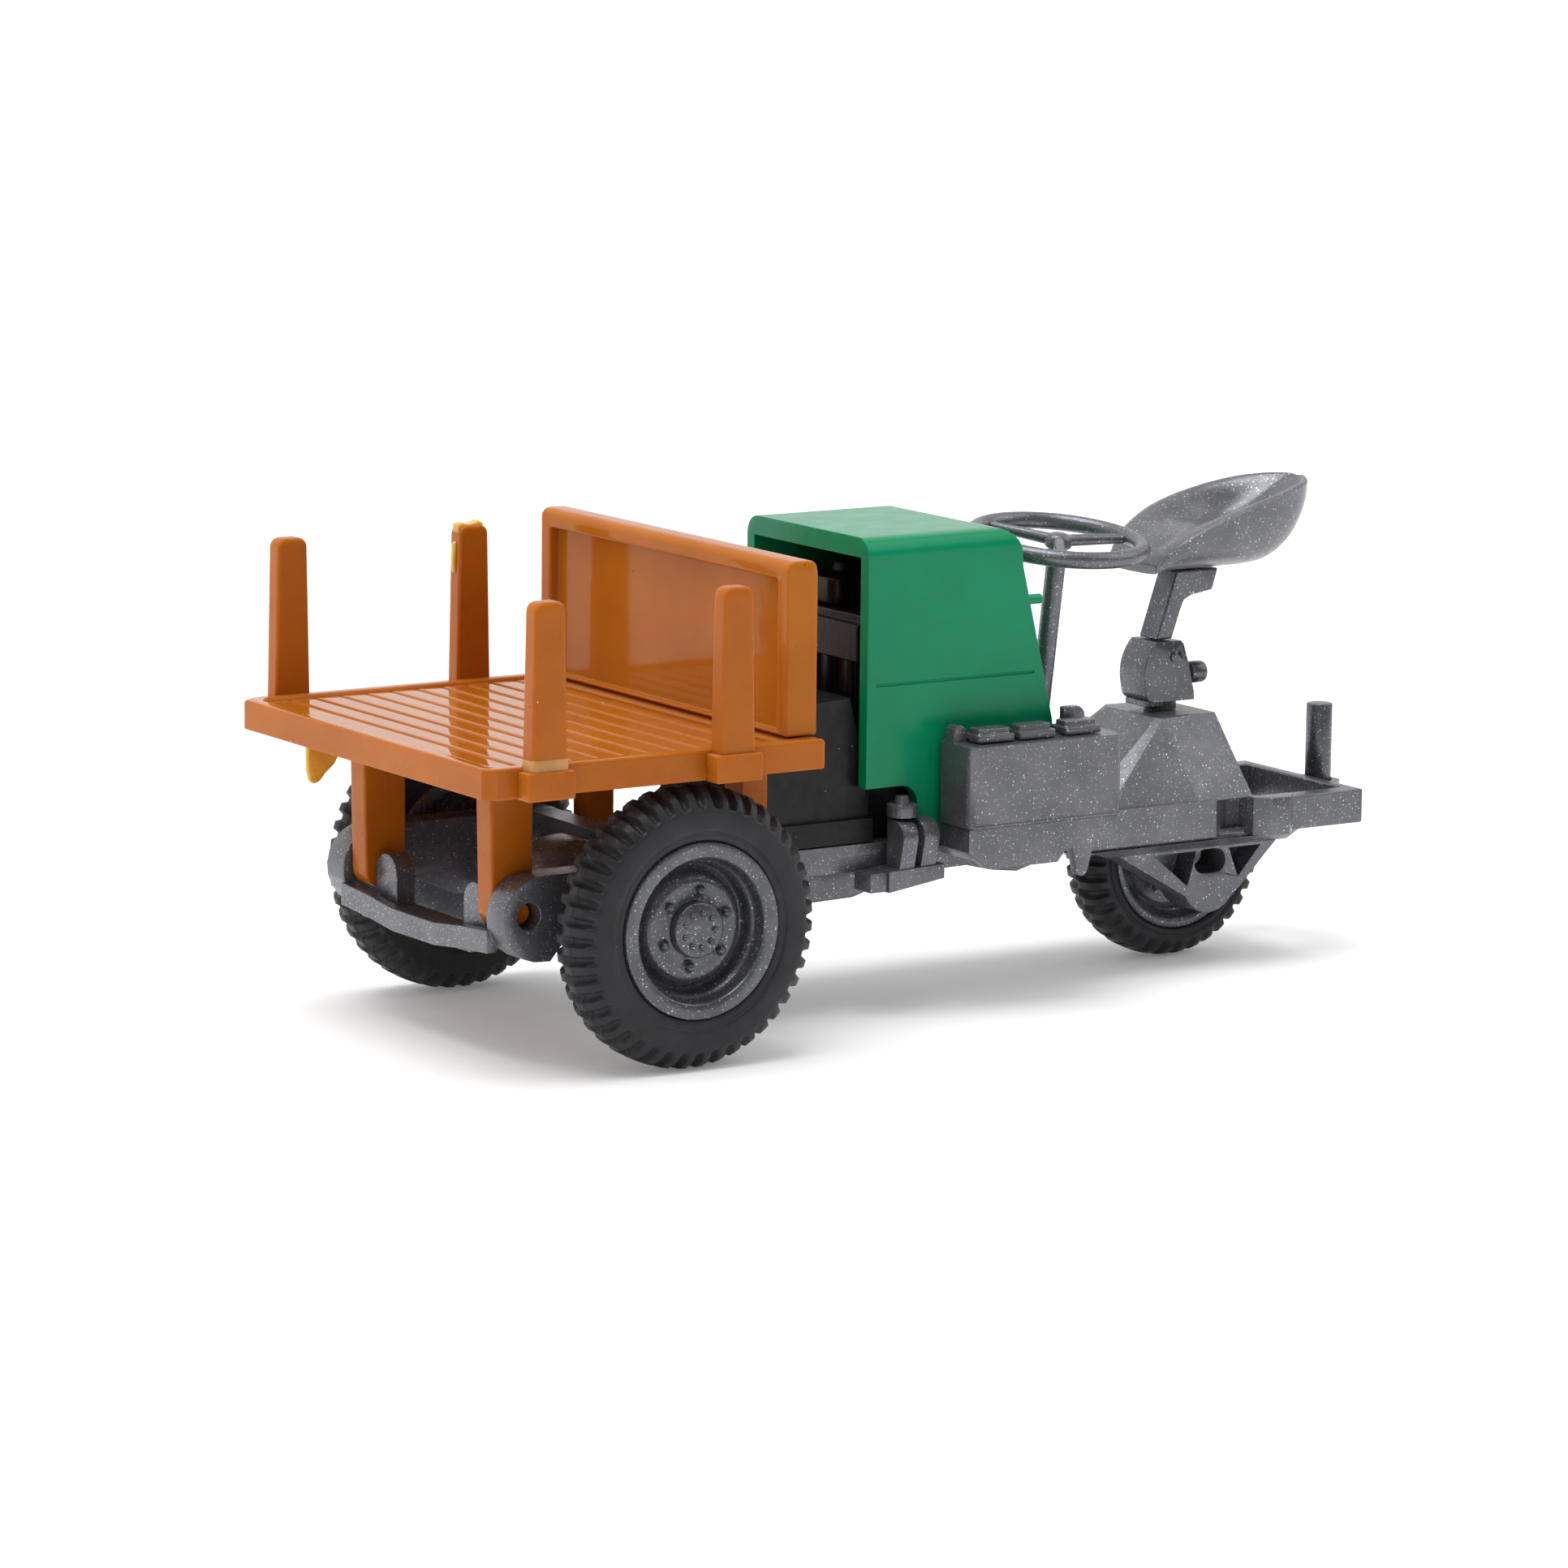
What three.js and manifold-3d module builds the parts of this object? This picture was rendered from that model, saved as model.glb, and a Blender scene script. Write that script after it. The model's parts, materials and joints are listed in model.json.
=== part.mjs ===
// Small-scale model of a three-wheeled site truck with a tipping stake bed.
// Millimetres, +Z up, +X towards the driver's end, -Y the vehicle's left side.
// Inside the model, X is measured from the front axle and Z from the ground.
import * as THREE from 'three';
import { mergeVertices } from 'three/addons/utils/BufferGeometryUtils.js';
import Module from 'manifold-3d';

const wasm = await Module();
wasm.setup();

// ---- driving dimensions -------------------------------------------------
const gap = 0.04;                 // between pieces that rest on each other
const bedFront = -7.5;            // overall length runs from here ...
const hitchEnd = 30.6;            // ... to here

const front = { x: 0, radius: 4.42, rimRadius: 2.77, outerY: 8.15, innerY: 6.1, axleRadius: 0.4 };
const rear = { x: 23.42, radius: 3.57, rimRadius: 2.55, halfWidth: 1.05, axleRadius: 0.35 };
const roundSteps = 48;            // facets round a tyre or rim
const holeSteps = 24;             // facets round a hole or a pin

const deck = { x1: 4.59, halfWidth: 7.85, top: 10.02, thickness: 0.97, border: 0.55, sink: 0.1 };
const plankCount = 11;
const plankGroove = { width: 0.12, depth: 0.1 };
const cornerCut = 0.35;           // chamfer of the deck's corners
const pocket = { length: 1.66, outerY: 8.5, innerY: 7.6, low: 9.02, top: 9.9 };
const stake = { innerY: 7.72, outerY: 8.36, topWidth: 1.08, footWidth: 1.3, top: 15.05 };
const stakeX = { front: -5.6, rear: 1.1 };
const headboard = { x0: 3.44, halfWidth: 7.44, top: 15.54, border: 0.6, recess: 0.35, round: 0.3 };

const pivot = { x: -4.68, z: 4.9, holeRadius: 0.42, pinRadius: 0.36 };
const leg = { innerY: 3.5, outerY: 4.42, x0: -5.4, x1: -3.84, toeRadius: 0.62 };
const rearLeg = { innerY: 4.1, outerY: 5.1, x0: 3.3, x1: 4.3, low: 5.0 };
const arm = { innerY: 4.5, outerY: 5.58, top: 6.12, low: 3.42, rear: 4.5 };
const tab = { innerY: 2.1, outerY: 3.42, x0: -4.98, x1: -4.3, top: 5.55 };
const beam = { x0: -5.6, x1: -5.25, top: 4.08, low: 3.36, endRise: 0.3 };

const rail = { outerY: 3.3, innerY: 2.35, low: 4.72, top: 5.55, front: 1.0, rear: 17.7 };
const hood = { x0: 8.99, halfWidth: 3.59, top: 15.43, wall: 0.45, topWall: 0.65, edge: 0.6 };
const battery = { x0: 11.63, x1: 17.66, outerY: 5.67, innerY: 3.72, low: 6.14, top: 8.78 };
const housing = { base: 5.76, low: 4.5, plateau: 8.35, halfWidth: 3.3, x0: 17.74, x1: 24.8 };
const wheelArch = { radius: 3.82, halfWidth: 1.25 };
const fork = { innerY: 1.3, outerY: 2.7, web: 0.45, slotLength: 1.3, slotHeight: 0.82 };
const tow = { x0: 24.84, x1: 29.34, outerY: 3.3, innerY: 2.6, low: 4.45, top: 5.6 };
const hitchPin = { x: 29.95, radius: 0.45, top: 8.02 };
const steering = { x: 18.91, z: 14.33, ringRadius: 2.78, tube: 0.29, hub: 0.44, leanX: 1.4, leanY: 7 };
const spokeAngles = [-3, 117, 237];
const column = { radius: 0.33, length: 8.35, holeRadius: 0.4 };

// ---- solids ---------------------------------------------------------------
function toSolid(geometry) {
  const bare = geometry.index ? geometry.toNonIndexed() : geometry.clone();
  bare.deleteAttribute('normal');
  bare.deleteAttribute('uv');
  const welded = mergeVertices(bare, 1e-4);
  const places = welded.attributes.position;
  const triangles = new Uint32Array(welded.index.array);
  if (signedVolume(places, triangles) < 0) {
    triangles.reverse();
  }
  return new wasm.Manifold(new wasm.Mesh({
    numProp: 3,
    vertProperties: new Float32Array(places.array),
    triVerts: triangles,
  }));
}

// Negative where the faces point inwards.
function signedVolume(places, triangles) {
  const [a, b, c] = [new THREE.Vector3(), new THREE.Vector3(), new THREE.Vector3()];
  let volume = 0;
  for (let i = 0; i < triangles.length; i += 3) {
    a.fromBufferAttribute(places, triangles[i]);
    b.fromBufferAttribute(places, triangles[i + 1]);
    c.fromBufferAttribute(places, triangles[i + 2]);
    volume += a.dot(b.cross(c)) / 6;
  }
  return volume;
}

function toGeometry(solid) {
  const mesh = solid.getMesh();
  const geometry = new THREE.BufferGeometry();
  geometry.setAttribute('position', new THREE.BufferAttribute(mesh.vertProperties, 3));
  geometry.setIndex(new THREE.BufferAttribute(mesh.triVerts, 1));
  return geometry;
}

const join = (first, ...others) => others.reduce((sum, next) => sum.add(next), first);
const cut = (first, ...others) => others.reduce((rest, next) => rest.subtract(next), first);

function box(x0, x1, y0, y1, z0, z1) {
  const geometry = new THREE.BoxGeometry(x1 - x0, y1 - y0, z1 - z0);
  return toSolid(geometry.translate((x0 + x1) / 2, (y0 + y1) / 2, (z0 + z1) / 2));
}

function outline(points) {
  return new THREE.Shape(points.map(([a, b]) => new THREE.Vector2(a, b)));
}

// An outline extruded along one row axis; its points are the other two coordinates.
function extrude(points, from, to, turn) {
  const shape = points instanceof THREE.Shape ? points : outline(points);
  const options = { depth: to - from, bevelEnabled: false, curveSegments: 8 };
  const geometry = new THREE.ExtrudeGeometry(shape, options).translate(0, 0, from);
  return toSolid(geometry.applyMatrix4(turn));
}

const standXZ = new THREE.Matrix4().makeRotationX(Math.PI / 2);
const standYZ = new THREE.Matrix4().makeBasis(
  new THREE.Vector3(0, 1, 0), new THREE.Vector3(0, 0, 1), new THREE.Vector3(1, 0, 0));
const sideways = (points, y0, y1) => extrude(points, -y1, -y0, standXZ);    // points (x, z)
const lengthways = (points, x0, x1) => extrude(points, x0, x1, standYZ);    // points (y, z)
const upright = (points, z0, z1) => extrude(points, z0, z1, new THREE.Matrix4()); // points (x, y)

// A round solid about the line through (x, z) along Y; profile points are (radius, y).
function turned(profile, x, z, steps = roundSteps) {
  const points = profile.map(([radius, y]) => new THREE.Vector2(radius, y));
  return toSolid(new THREE.LatheGeometry(points, steps).translate(x, 0, z));
}

const pinY = (x, z, radius, y0, y1, steps = holeSteps) =>
  turned([[0, y0], [radius, y0], [radius, y1], [0, y1]], x, z, steps);

function pinZ(x, y, radiusLow, radiusTop, z0, z1, steps = holeSteps) {
  const geometry = new THREE.CylinderGeometry(radiusTop, radiusLow, z1 - z0, steps);
  return toSolid(geometry.rotateX(Math.PI / 2).translate(x, y, (z0 + z1) / 2));
}

function pinX(y, z, radius, x0, x1, steps = holeSteps) {
  const geometry = new THREE.CylinderGeometry(radius, radius, x1 - x0, steps);
  return toSolid(geometry.rotateZ(Math.PI / 2).translate((x0 + x1) / 2, y, z));
}

// The solid between a polygon at one height and a polygon of as many points at another.
function loft(lower, zLow, upper, zTop) {
  const count = lower.length;
  const corners = [...lower.map(([x, y]) => [x, y, zLow]), ...upper.map(([x, y]) => [x, y, zTop])];
  const faces = [];
  for (let i = 0; i < count; i++) {
    const next = (i + 1) % count;
    faces.push([i, next, count + next], [i, count + next, count + i]);
  }
  for (let i = 1; i < count - 1; i++) {
    faces.push([0, i + 1, i], [count, count + i, count + i + 1]);
  }
  const positions = faces.flat().flatMap((corner) => corners[corner]);
  const geometry = new THREE.BufferGeometry();
  geometry.setAttribute('position', new THREE.Float32BufferAttribute(positions, 3));
  return toSolid(geometry);
}

// Points on an arc about (a, b), from one angle to another in degrees.
function arc(a, b, radius, from, to, steps = 6) {
  const points = [];
  for (let i = 0; i <= steps; i++) {
    const angle = THREE.MathUtils.degToRad(from + (to - from) * i / steps);
    points.push([a + radius * Math.cos(angle), b + radius * Math.sin(angle)]);
  }
  return points;
}

// A rectangle with its corners rounded.
function roundedRect(a0, a1, b0, b1, radius, steps = 4) {
  return [
    ...arc(a1 - radius, b0 + radius, radius, -90, 0, steps),
    ...arc(a1 - radius, b1 - radius, radius, 0, 90, steps),
    ...arc(a0 + radius, b1 - radius, radius, 90, 180, steps),
    ...arc(a0 + radius, b0 + radius, radius, 180, 270, steps),
  ];
}

const mirrorY = (solid) => solid.mirror([0, 1, 0]);
const bothSides = (solid) => join(solid, mirrorY(solid));

// ---- wheels -----------------------------------------------------------------
// The left tyre and rim; the right ones are their mirror images.
function frontTyre() {
  const { radius, rimRadius, outerY, innerY, x } = front;
  const middle = (outerY + innerY) / 2;
  const bead = rimRadius + gap;
  return turned([
    [bead, -outerY + 0.05], [bead + 0.35, -outerY - 0.02], [3.95, -outerY + 0.12],
    [4.24, -outerY + 0.4], [radius, -middle - 0.35], [radius, -middle + 0.35],
    [4.24, -innerY - 0.4], [3.95, -innerY - 0.12], [bead + 0.35, -innerY],
    [bead, -innerY - 0.08], [bead, -outerY + 0.05],
  ], x, radius);
}

function rimNuts(x, z, circle, radius, count, y0, y1) {
  const nuts = [];
  for (let i = 0; i < count; i++) {
    const angle = 2 * Math.PI * (i + 0.5) / count;
    nuts.push(pinY(x + circle * Math.sin(angle), z + circle * Math.cos(angle), radius, y0, y1, 6));
  }
  return nuts;
}

function frontRim() {
  const { rimRadius, outerY, innerY, x, radius, axleRadius } = front;
  const face = -outerY;
  const bore = axleRadius + 0.03;
  const shell = turned([
    [0, face + 0.2], [0.9, face + 0.22], [0.95, face + 0.45], [1.6, face + 0.5],
    [1.9, face + 0.62], [2.15, face + 0.5], [2.3, face + 0.12], [2.4, face],
    [rimRadius, face], [rimRadius, -innerY - 0.1], [2.3, -innerY - 0.1], [2.2, -outerY + 1.3],
    [0.85, -outerY + 1.2], [0.85, -5.72], [bore, -5.72], [bore, face + 0.75],
    [0, face + 0.75], [0, face + 0.2],
  ], x, radius);
  return join(shell, ...rimNuts(x, radius, 1.2, 0.18, 6, face + 0.3, face + 0.6));
}

// A closed profile from its half at positive Y, which runs from its inner radius outwards.
function symmetricProfile(half) {
  const mirrored = half.map(([radius, y]) => [radius, -y]);
  return [...half, ...mirrored.reverse(), half[0]];
}

function rearTyre() {
  const { radius, rimRadius, halfWidth, x } = rear;
  const bead = rimRadius + gap;
  return turned(symmetricProfile([
    [bead, halfWidth - 0.12], [bead + 0.3, halfWidth], [3.2, halfWidth - 0.1],
    [3.42, halfWidth - 0.35], [radius, 0.35],
  ]), x, radius);
}

function rearRim() {
  const { radius, rimRadius, halfWidth, x, axleRadius } = rear;
  const bore = axleRadius + 0.03;
  const edge = halfWidth - 0.05;
  const shell = turned(symmetricProfile([
    [bore, 1.0], [0.75, 1.0], [0.8, 0.45], [1.7, 0.4], [2.0, 0.65], [2.15, edge],
    [rimRadius, edge],
  ]), x, radius);
  return join(shell, ...rimNuts(x, radius, 1.3, 0.2, 6, -0.62, 0.62));
}

const frontAxle = () => pinY(front.x, front.radius, front.axleRadius, -7.35, 7.35);
const rearAxle = () => pinY(rear.x, rear.radius, rear.axleRadius, -2.35, 2.35);

// ---- tipping bed --------------------------------------------------------------
function deckOutline(inset = 0) {
  const { x1, halfWidth } = deck;
  const x0 = bedFront + inset;
  const y1 = halfWidth - inset;
  const rearX = x1 - inset;
  return [
    [x0 + cornerCut, -y1], [rearX, -y1], [rearX, y1],
    [x0 + cornerCut, y1], [x0, y1 - cornerCut], [x0, -y1 + cornerCut],
  ];
}

// The sunken floor of planks ends just ahead of the headboard.
const floorEnd = headboard.x0 - 0.12;

function plankGrooves() {
  const from = bedFront + deck.border;
  const pitch = (floorEnd - from) / plankCount;
  const low = deck.top - deck.sink - plankGroove.depth;
  const reach = deck.halfWidth - deck.border;
  const grooves = [];
  for (let i = 1; i < plankCount; i++) {
    const x = from + i * pitch;
    grooves.push(box(x - plankGroove.width / 2, x + plankGroove.width / 2, -reach, reach, low, deck.top));
  }
  return grooves;
}

// A bed leg's lower end is round about the pivot, and its trunnion stands out sideways.
function frontLeg() {
  const { innerY, outerY, x0, x1, toeRadius } = leg;
  const blade = sideways([
    [x0, deck.top - 0.5], [x0, pivot.z], ...arc(pivot.x, pivot.z, toeRadius, 180, 360, 10),
    [x1, pivot.z], [x1, deck.top - 0.5],
  ], -outerY, -innerY);
  const trunnion = pinY(pivot.x, pivot.z, pivot.pinRadius, -arm.outerY + 0.55, -outerY + 0.1);
  return join(blade, trunnion);
}

function cargoBed() {
  const low = deck.top - deck.thickness;
  const slab = upright(deckOutline(), low, deck.top);
  const floor = cut(
    upright(deckOutline(deck.border), deck.top - deck.sink, deck.top + 1),
    box(floorEnd, deck.x1, -deck.halfWidth, deck.halfWidth, 0, deck.top + 2));
  const pockets = Object.values(stakeX).map((x) => box(
    x - pocket.length / 2, x + pocket.length / 2, -pocket.outerY, -pocket.innerY, pocket.low, pocket.top));
  const stakeSlots = Object.values(stakeX).map((x) => box(
    x - stake.footWidth / 2 - gap, x + stake.footWidth / 2 + gap,
    -stake.outerY - gap, -stake.innerY + gap, pocket.low + 0.12, deck.top + 1));
  const supports = [
    frontLeg(),
    box(rearLeg.x0, rearLeg.x1, -rearLeg.outerY, -rearLeg.innerY, rearLeg.low, deck.top - 0.5),
  ];
  const raised = cut(slab, floor, ...plankGrooves());
  const sides = join(...pockets, ...supports);
  return cut(join(raised, sides, mirrorY(sides)), ...stakeSlots, ...stakeSlots.map(mirrorY));
}

function headboardPanel() {
  const { x0, halfWidth, top, border, recess, round } = headboard;
  const low = deck.top + gap;
  const body = sideways([
    [x0, low], [deck.x1 - gap, low], ...arc(deck.x1 - gap - round, top - round, round, 0, 90, 4),
    ...arc(x0 + round, top - round, round, 90, 180, 4),
  ], -halfWidth, halfWidth);
  const panel = box(x0 - 1, x0 + recess, -halfWidth + border, halfWidth - border,
    deck.top + 0.15, top - border);
  return cut(body, panel);
}

// A tapered stake with a round top, in the left side's pocket at x.
function stakeBlade(x) {
  const { innerY, outerY, topWidth, footWidth, top } = stake;
  const round = 0.3;
  const half = topWidth / 2;
  return sideways([
    [x - footWidth / 2, pocket.low + 0.16], [x + footWidth / 2, pocket.low + 0.16],
    ...arc(x + half - round, top - round, round, 0, 90, 4),
    ...arc(x - half + round, top - round, round, 90, 180, 4),
  ], -outerY, -innerY);
}

// ---- tipping frame and running gear ---------------------------------------------
function tippingFrame() {
  const { innerY, outerY, top, low } = arm;
  const middle = (top + low) / 2;
  const noseRadius = (top - low) / 2;
  const side = cut(
    sideways([
      ...arc(pivot.x + 0.45, middle, noseRadius, 90, 260, 10), [-3.9, low], [-3.1, 4.35],
      [-1.4, 3.6], [0.9, 3.6], [2.4, 4.2], [arm.rear, 4.2], [arm.rear, 4.95], [3.2, 4.95], [2.3, top],
    ], -outerY, -innerY),
    pinY(pivot.x, pivot.z, pivot.holeRadius, -outerY - 1, -innerY + 1),
    pinY(front.x, front.radius, front.axleRadius + 0.06, -outerY - 1, -innerY + 1));
  const stopRound = (tab.outerY - tab.innerY) / 2;
  const stop = lengthways([
    [-tab.outerY, beam.low + 0.2], [-tab.innerY, beam.low + 0.2],
    ...arc(-tab.innerY - stopRound, tab.top - stopRound, stopRound, 0, 180, 10),
  ], tab.x0, tab.x1);
  const rise = beam.endRise;
  const bar = lengthways([
    [-innerY - 0.1, beam.low + rise], [-2.9, beam.low + rise * 0.6], [-1.3, beam.low],
    [1.3, beam.low], [2.9, beam.low + rise * 0.6], [innerY + 0.1, beam.low + rise],
    [innerY + 0.1, beam.top + rise], [2.9, beam.top + rise * 0.6], [1.3, beam.top],
    [-1.3, beam.top], [-2.9, beam.top + rise * 0.6], [-innerY - 0.1, beam.top + rise],
  ], beam.x0, beam.x1);
  const ledge = box(beam.x0 + 0.1, tab.x1, -tab.outerY, tab.outerY, beam.low + 0.12, beam.top - 0.1);
  const rearTie = box(1.25, 2.25, -innerY - 0.1, innerY + 0.1, rail.top + gap, top);
  return join(bothSides(join(side, stop)), bar, ledge, rearTie);
}

// The round differential housing in the middle of the front axle.
function driveHousing() {
  const { x, radius, axleRadius } = front;
  const bore = axleRadius + 0.06;
  return turned(symmetricProfile([
    [bore, 3.6], [0.75, 3.6], [0.8, 1.1], [1.3, 1.0], [1.66, 0.7], [1.66, 0.01],
  ]), x, radius, 40);
}

function chassisFrame() {
  const { outerY, innerY, low, top } = rail;
  const side = sideways([
    [rail.front, low + 0.25], [rail.front + 0.5, low], [rail.rear, low - 0.15],
    [rail.rear, top], [rail.front, top],
  ], -outerY, -innerY);
  const shelf = cut(
    sideways([
      [11.72, 5.35], [12.5, 4.75], [15.2, 4.75], [15.5, 5.1], [17.5, 5.4], [17.5, 6.1], [11.72, 6.1],
    ], -5.5, -outerY + 0.1),
    box(12.2, 17.2, -5.1, -outerY, 4.0, 5.85));
  const hook = sideways([
    [15.6, 5.9], [15.95, 4.45], ...arc(16.17, 4.42, 0.22, 190, 350, 4), [16.8, 5.9],
  ], -5.5, -5.15);
  const floor = box(9.55, rail.rear, -outerY + 0.1, outerY - 0.1, top - 0.45, top);
  const frontTie = box(1.75, 2.4, -innerY - 0.1, innerY + 0.1, low + 0.2, top - 0.1);
  const keel = sideways([
    [10.2, 4.75], [11.4, 3.95], [14.6, 4.0], [15.6, 3.75], [16.6, 3.62], [rail.rear, 3.9],
    [rail.rear, top - 0.2], [10.2, top - 0.2],
  ], -1.2, 1.2);
  const hoodRoom = box(11, 18, -hood.halfWidth - gap, 0, top + 0.01, 7);
  return join(side, mirrorY(side), cut(shelf, hoodRoom), hook, floor, frontTie, keel);
}

// ---- engine and hood ----------------------------------------------------------------
function gearbox() {
  const skirt = box(5.0, 9.5, -3.28, 3.28, rail.top + gap, 6.36);
  const bell = sideways([
    [5.3, 6.3], [5.6, 8.5], [7.3, 10.2], [8.72, 10.28], [9.25, 8.1], [9.5, 6.3],
  ], -3.05, 3.05);
  return join(skirt, bell);
}

const sump = () => sideways([
  [6.65, 5.5], [6.65, 4.5], ...arc(7.75, 4.58, 1.02, 190, 270, 6), [9.4, 3.6], [9.85, 3.72],
  [10.1, 4.0], [10.1, 5.05], [9.5, 5.05], [9.5, 5.5],
], -rail.innerY + gap, rail.innerY - gap);

const torqueTube = () => join(
  pinX(0, 4.3, 0.42, 1.72, 6.6),
  pinX(0, 4.3, 0.62, 5.9, 6.6));

// A ribbed flange stands out at the top of the block's front.
function engineBlock() {
  const block = sideways([
    [9.64, 5.6], [9.64, 12.75], [14.4, 12.75], [15.3, 9.0], [15.9, 5.6],
  ], -2.7, 2.7);
  const flange = box(9.3, 9.7, -2.5, 2.5, 11.3, 12.5);
  const ribs = [-1.8, -0.6, 0.6, 1.8].map((y) => box(9.4, 9.7, y - 0.15, y + 0.15, 8.6, 11.4));
  return join(block, flange, ...ribs);
}

const cylinderHead = () => join(
  upright(roundedRect(9.9, 13.2, -0.2, 2.2, 0.4), 12.75 + gap, 13.7),
  pinZ(11.2, 1.0, 0.55, 0.45, 13.6, 14.1));

function hoodSide(inset, roof, low) {
  const round = 0.9;
  const crown = hood.top - roof;
  return [
    [hood.x0, low], [11.0 + inset, low], [16.55 - inset, low], [16.24 - inset, 9.1],
    [15.0 - inset, 14.2], ...arc(14.09 - inset, crown - round, round, 15, 90, 5), [hood.x0, crown],
  ];
}

function engineHood() {
  const { x0, halfWidth, top, wall, topWall, edge } = hood;
  const low = rail.top + gap;
  const outerSection = lengthways([
    [-halfWidth, low - 1], [halfWidth, low - 1], ...arc(halfWidth - edge, top - edge, edge, 0, 90, 5),
    ...arc(-halfWidth + edge, top - edge, edge, 90, 180, 5),
  ], x0, 18);
  const outer = sideways(hoodSide(0, 0, low), -halfWidth, halfWidth).intersect(outerSection);
  const hollow = sideways(hoodSide(wall, topWall, low - 1), -halfWidth + wall, halfWidth - wall);
  const mouth = box(x0 - 1, x0 + 1, -halfWidth + wall, halfWidth - wall, low - 1, top - topWall);
  const skirtCut = sideways([
    [x0 - 1, 0], [x0 - 1, 7.36], [10.4, 7.36], ...arc(10.4, 6.76, 0.6, 90, 0, 5), [11.0, 0],
  ], -halfWidth - 1, halfWidth + 1);
  const seam = box(x0 + 0.35, 15.5, -halfWidth - 1, -halfWidth + 0.06, 10.64, 10.72);
  const button = pinX(-3.2, 13.0, 0.17, 15.0, 15.95, 12);
  return join(cut(outer, hollow, mouth, skirtCut, seam, mirrorY(seam)), button);
}

// ---- battery box and reservoir ----------------------------------------------------------
function batteryBox() {
  const { x0, x1, outerY, innerY, low, top } = battery;
  const corner = 0.3;
  const lipHeight = 0.08;
  const body = upright(roundedRect(x0, x1, -outerY + 0.03, -innerY, corner), low, top);
  const lip = roundedRect(x0, x1, -outerY - 0.03, -innerY, corner);
  const earRound = 0.24;
  const ear = sideways([
    [x0 + 0.08, top - 0.1], [x0 + 0.08 + 2 * earRound, top - 0.1],
    ...arc(x0 + 0.08 + earRound, top + 0.32, earRound, 0, 180, 6),
  ], -4.57, -4.05);
  return join(body, upright(lip, low, low + lipHeight), upright(lip, top - lipHeight, top), ear);
}

const capX = [12.95, 14.55, 16.35];
const capY = -4.75;

function batteryCap(x) {
  const foot = battery.top + gap;
  return join(
    upright(roundedRect(x - 0.72, x + 0.72, capY - 0.5, capY + 0.5, 0.15), foot, foot + 0.24),
    upright(roundedRect(x - 0.62, x + 0.62, capY - 0.34, capY + 0.34, 0.15), foot + 0.2, foot + 0.42));
}

// The terminal's lug stands on the box behind the last cap, with its flat side to the front.
const terminalLug = () => sideways([
  [16.35, battery.top + gap], [17.2, battery.top + gap],
  ...arc(16.85, battery.top + 0.4, 0.35, 0, 90, 4), [16.35, battery.top + 0.75],
], -4.1, -3.8);

function reservoirBracket() {
  const inner = -hood.halfWidth - gap;
  const foot = sideways([
    [9.36, 4.1], [11.5, 4.4], [11.5, 4.88], [9.36, 4.78],
  ], -4.45, -rail.outerY - gap);
  const toe = box(8.75, 9.4, -4.3, -rail.outerY - gap, 4.12, 4.74);
  const wall = box(9.85, 11.15, -3.95, inner, 4.7, 6.2);
  const ribs = [[9.8, 10.38], [10.62, 11.2]].map(([from, to]) => lengthways([
    [inner, 6.4], [inner, 4.7], [-4.35, 4.7], [-4.6, 5.75],
    ...arc(-4.1, 5.85, 0.5, 180, 90, 4),
  ], from, to));
  return join(foot, toe, wall, ...ribs);
}

const reservoir = () => join(
  pinZ(10.22, -3.85, 0.5, 0.5, 6.4 + gap, 6.84),
  pinZ(10.22, -3.85, 0.5, 0.26, 6.82, 6.92),
  pinZ(10.22, -3.85, 0.26, 0.22, 6.9, 7.1));

// ---- rear housing and hitch -----------------------------------------------------------------
const mirrorPlan = (half) => [...half, ...half.map(([x, y]) => [x, -y]).reverse()];

function forkPlate() {
  const { innerY, outerY, web } = fork;
  const profile = [
    [19.5, 4.35], [19.5, 4.15], [22.0, 2.7], ...arc(23.42, 2.9, 1.08, 205, 325, 7),
    [24.7, 2.6], [25.7, 3.6], [26.5, 4.35],
  ];
  const pocketFront = [[21.1, 3.95], [22.5, 2.8], [22.85, 3.95]];
  const pocketRear = [[24.2, 3.95], [24.6, 2.95], [25.5, 3.95]];
  const slotHalf = (fork.slotLength - fork.slotHeight) / 2;
  const round = fork.slotHeight / 2;
  const slot = [
    ...arc(rear.x + slotHalf, rear.radius, round, -90, 90, 8),
    ...arc(rear.x - slotHalf, rear.radius, round, 90, 270, 8),
  ];
  return cut(
    sideways(profile, -outerY, -innerY),
    sideways(pocketFront, -outerY - 1, -innerY - web),
    sideways(pocketRear, -outerY - 1, -innerY - web),
    sideways(slot, -outerY - 1, -innerY + 1));
}

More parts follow.
